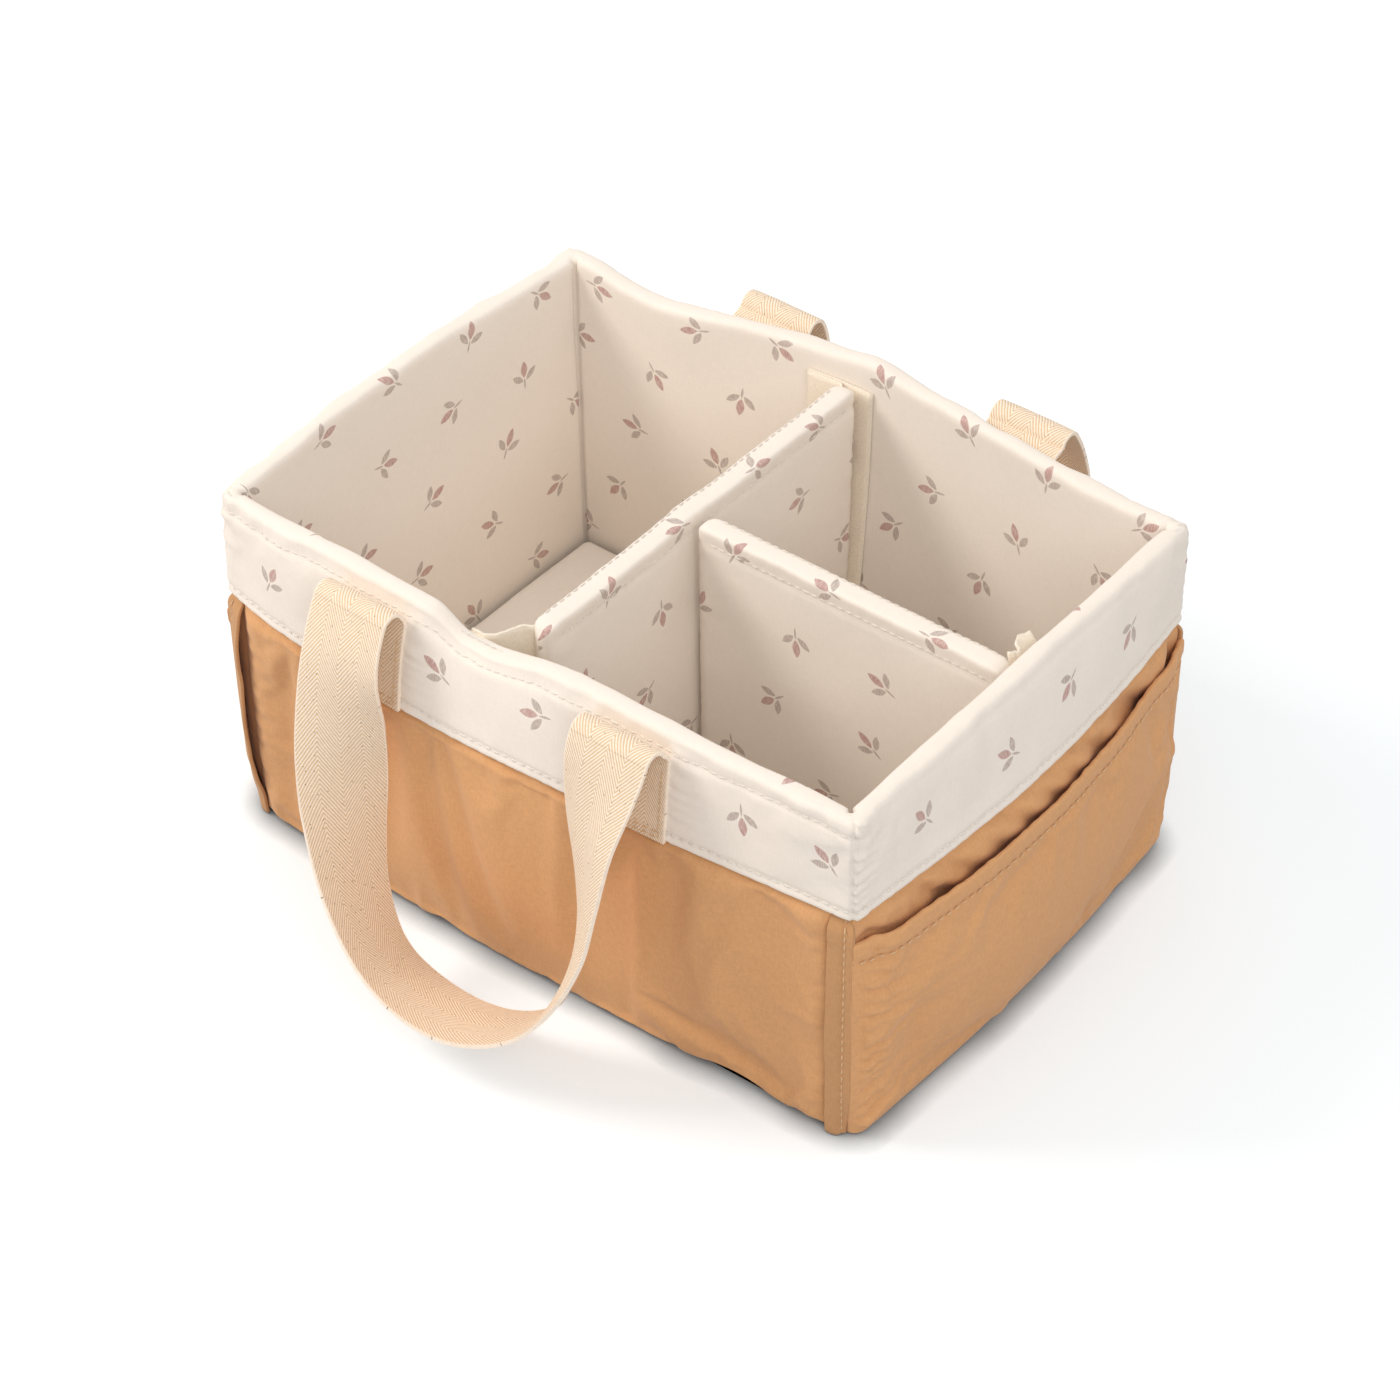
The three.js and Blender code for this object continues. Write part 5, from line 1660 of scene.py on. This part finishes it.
class CADDY_OT_handles(bpy.types.Operator):
    """Makes the two webbing handles: sewn ends, folds and hanging loops, each strip continuous in weave"""

    bl_idname = "caddy.handles"
    bl_label = "Handles"

    def execute(self, context):
        for side in ("front", "back"):
            self.make(Handle(side))
        return {"FINISHED"}

    def make(self, handle):
        side = handle.side
        body = f"{side}_handle"
        foot = sizes().cuff_foot - 1 * MM
        stitches = bmesh.new()
        run = 0.0
        for name, other_name, way in (("left", "right", -1), ("right", "left", 1)):
            x = handle.centre + way * HANDLE_SPREAD / 2
            edge = Vector((-way * handle.half, 0, 0))
            # Left and right are told from the front, and the back handle is turned half round
            nodes = [f"{side}_handle_{name if side == 'front' else other_name}_end"]
            stretches = [("sewn_end", handle.sewn_sections(x, foot, edge), "caddy", nodes),
                         ("fold", handle.fold_sections(x, edge), None, [])]
            if name == "right":
                stretches = [(part, sections[::-1], rides, nodes) for part, sections, rides, nodes in stretches[::-1]]
            made = {}
            for part, sections, rides, nodes in stretches:
                made[part], run = webbing_piece(f"{side}_handle_{name}_{part}", sections, run, rides, nodes, handle)
            if name == "left":
                loop, run = webbing_piece(f"{side}_handle_loop", handle.loop_sections(), run, body, [body], handle)
            start = handle.place(Vector((0, handle.axis_y + FOLD_RADIUS, handle.axis_z)))
            end = handle.place(Vector((0, handle.axis_y + FOLD_RADIUS * math.cos(FOLD_TURN), handle.axis_z)))
            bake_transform(made["fold"], "caddy", body, start=tuple(start), end=tuple(end))
            self.sew(stitches, handle, x, foot)
        new_piece(f"{side}_handle_stitching", stitches, "tan_thread", "caddy")

    def sew(self, bm, handle, x, foot):
        """A box of stitches round each sewn end, with a second row along its foot."""
        inset = 2.5 * MM
        low, high = foot + inset, foot + 38 * MM
        left, right = x - handle.half + inset, x + handle.half - inset
        corners = [(left, high), (left, low), (right, low), (right, high)]
        for row in (corners, [(left, low + 3 * MM), (right, low + 3 * MM)]):
            spots = [(x0 + (x1 - x0) * k / 12, z0 + (z1 - z0) * k / 12)
                     for (x0, z0), (x1, z1) in zip(row, row[1:]) for k in range(13)]
            path = lifted_path(lambda spot, lift: handle.place(handle.on_cuff(*spot, 1.1 * MM + lift)), spots)
            stitch_line(bm, path, 0.35 * MM, 0.15 * MM, 1.0 * MM)


# Studio

def seen_rays(tree):
    """Rays from the camera, and those that reach it straight, by a mirror or through glass."""
    path = add(tree, "ShaderNodeLightPath").outputs
    seen = maths(tree, "MAXIMUM", path["Is Camera Ray"], path["Is Glossy Ray"])
    return path["Is Camera Ray"], maths(tree, "MAXIMUM", seen, path["Is Transmission Ray"])


class CADDY_OT_studio(bpy.types.Operator):
    """Sets the pale floor, the soft lamps and the camera"""

    bl_idname = "caddy.studio"
    bl_label = "Studio"

    def execute(self, context):
        self.floor()
        self.lamps()
        self.world()
        self.camera()
        context.scene.view_settings.view_transform = "Standard"
        return {"FINISHED"}

    def floor(self):
        bm = bmesh.new()
        bmesh.ops.create_grid(bm, x_segments=1, y_segments=1, size=6.0)
        mesh = bpy.data.meshes.new("studio_floor")
        bm.to_mesh(mesh)
        bm.free()
        material, tree = new_material("white_studio_paper")
        # Near the caddy the paper is darkened by a painted contact shadow: ambient occlusion dims its colour and its
        # glow
        painted_contact_shadow = add(tree, "ShaderNodeAmbientOcclusion", {"Distance": 12 * MM}, samples=8).outputs["AO"]
        painted_contact_shadow = maths(tree, "POWER", painted_contact_shadow, 1.1)
        # Far from the caddy the paper grows as white as the background, so that no edge of it shows
        away = add(tree, "ShaderNodeVectorMath", links={0: own_place(tree)}, operation="LENGTH").outputs["Value"]
        far = spread(tree, away, 0.6, 2.0, 1.0, 2.6)
        from_camera, seen = seen_rays(tree)
        shown = mixed(tree, painted_contact_shadow, [0.0, 0.0, 0.0, 1.0], [0.645, 0.675, 0.685, 1.0])
        colour = mixed(tree, from_camera, linear("#CCCDCF"), shown)
        paper = add(tree, "ShaderNodeBsdfDiffuse", links={"Color": colour})
        # The glow near the caddy is dimmed by the same painted contact shadow
        glow = add(tree, "ShaderNodeEmission", {"Color": (0.39, 0.40, 0.41, 1)},
                   {"Strength": times(tree, seen, times(tree, painted_contact_shadow, far))})
        lifted = add(tree, "ShaderNodeAddShader", links={0: paper.outputs[0], 1: glow.outputs[0]})
        add(tree, "ShaderNodeOutputMaterial", links={"Surface": lifted.outputs[0]})
        mesh.materials.append(material)
        place_in_scene("studio_floor", mesh)

    def lamps(self):
        for name, place, aim, size, power, hex_colour in (
            ("key_lamp", (-1.49, -0.96, 1.7), (0, 0, 0.08), 0.85, 27, "#FFF8F0"),
            ("fill_lamp", (1.9, -1.3, 2.0), (0, 0, 0.08), 1.6, 22, "#FFFDFA"),
            ("top_lamp", (0.2, 0.3, 2.4), (0, 0, 0.1), 1.6, 3, "#FFF8F0"),
        ):
            light = bpy.data.lights.new(name, "AREA")
            light.shape = "SQUARE"
            light.size = size
            light.energy = power
            light.color = linear(hex_colour)[:3]
            lamp = place_in_scene(name, light)
            lamp.location = place
            lamp.rotation_euler = (Vector(aim) - Vector(place)).to_track_quat("-Z", "Y").to_euler()

    def world(self):
        world = bpy.data.worlds.new("studio")
        bpy.context.scene.world = world
        world.use_nodes = True
        tree = world.node_tree
        tree.nodes.clear()
        room = add(tree, "ShaderNodeBackground", {"Color": (1, 1, 1, 1), "Strength": 0.67})
        backdrop = add(tree, "ShaderNodeBackground", {"Color": (1, 1, 1, 1), "Strength": 1.0})
        _, seen = seen_rays(tree)
        mix = add(tree, "ShaderNodeMixShader", links={0: seen, 1: room.outputs[0], 2: backdrop.outputs[0]})
        add(tree, "ShaderNodeOutputWorld", links={"Surface": mix.outputs[0]})

    def camera(self):
        """The photograph's camera, found from the eight corners of the rim and base."""
        azimuth, elevation, roll = math.radians(39.0236), math.radians(41.1244), math.radians(-0.832)
        distance = 1.6079
        target = Vector((12.67 * MM, -17.86 * MM, 91.74 * MM))
        level = math.cos(elevation)
        back = Vector((math.sin(azimuth) * level, -math.cos(azimuth) * level, math.sin(elevation)))
        right = (-back).cross(Vector((0, 0, 1))).normalized()
        up = right.cross(-back)
        rolled_right = right * math.cos(roll) + up * math.sin(roll)
        rolled_up = up * math.cos(roll) - right * math.sin(roll)
        lens = bpy.data.cameras.new("camera")
        lens.sensor_width = 36.0
        lens.lens = 92.55
        camera = place_in_scene("camera", lens)
        turn = Matrix((rolled_right, rolled_up, back)).transposed().to_4x4()
        camera.matrix_world = Matrix.Translation(target + back * distance) @ turn
        bpy.context.scene.camera = camera


class CADDY_PT_panel(bpy.types.Panel):
    """Lists the steps that build the caddy"""

    bl_idname = "CADDY_PT_panel"
    bl_label = "Diaper Caddy"
    bl_space_type = "VIEW_3D"
    bl_region_type = "UI"
    bl_category = "Caddy"

    def draw(self, context):
        layout = self.layout
        for group in (context.scene.caddy_sizes, context.scene.caddy_colours):
            box = layout.box()
            for name in group.__annotations__:
                box.prop(group, name)
        for operator in OPERATORS:
            layout.operator(operator.bl_idname)


OPERATORS = (
    CADDY_OT_printed_cloth,
    CADDY_OT_canvas_walls,
    CADDY_OT_base,
    CADDY_OT_wall_padding,
    CADDY_OT_bindings,
    CADDY_OT_pockets,
    CADDY_OT_floor_pad,
    CADDY_OT_dividers,
    CADDY_OT_tapes,
    CADDY_OT_handles,
    CADDY_OT_studio,
)
CLASSES = (CaddySizes, CaddyColours, *OPERATORS, CADDY_PT_panel)


def register():
    for cls in CLASSES:
        bpy.utils.register_class(cls)
    bpy.types.Scene.caddy_sizes = PointerProperty(type=CaddySizes)
    bpy.types.Scene.caddy_colours = PointerProperty(type=CaddyColours)


def unregister():
    del bpy.types.Scene.caddy_colours
    del bpy.types.Scene.caddy_sizes
    for cls in reversed(CLASSES):
        bpy.utils.unregister_class(cls)


def main():
    register()
    for operator in OPERATORS:
        group, name = operator.bl_idname.split(".")
        getattr(getattr(bpy.ops, group), name)()


if __name__ == "__main__":
    main()
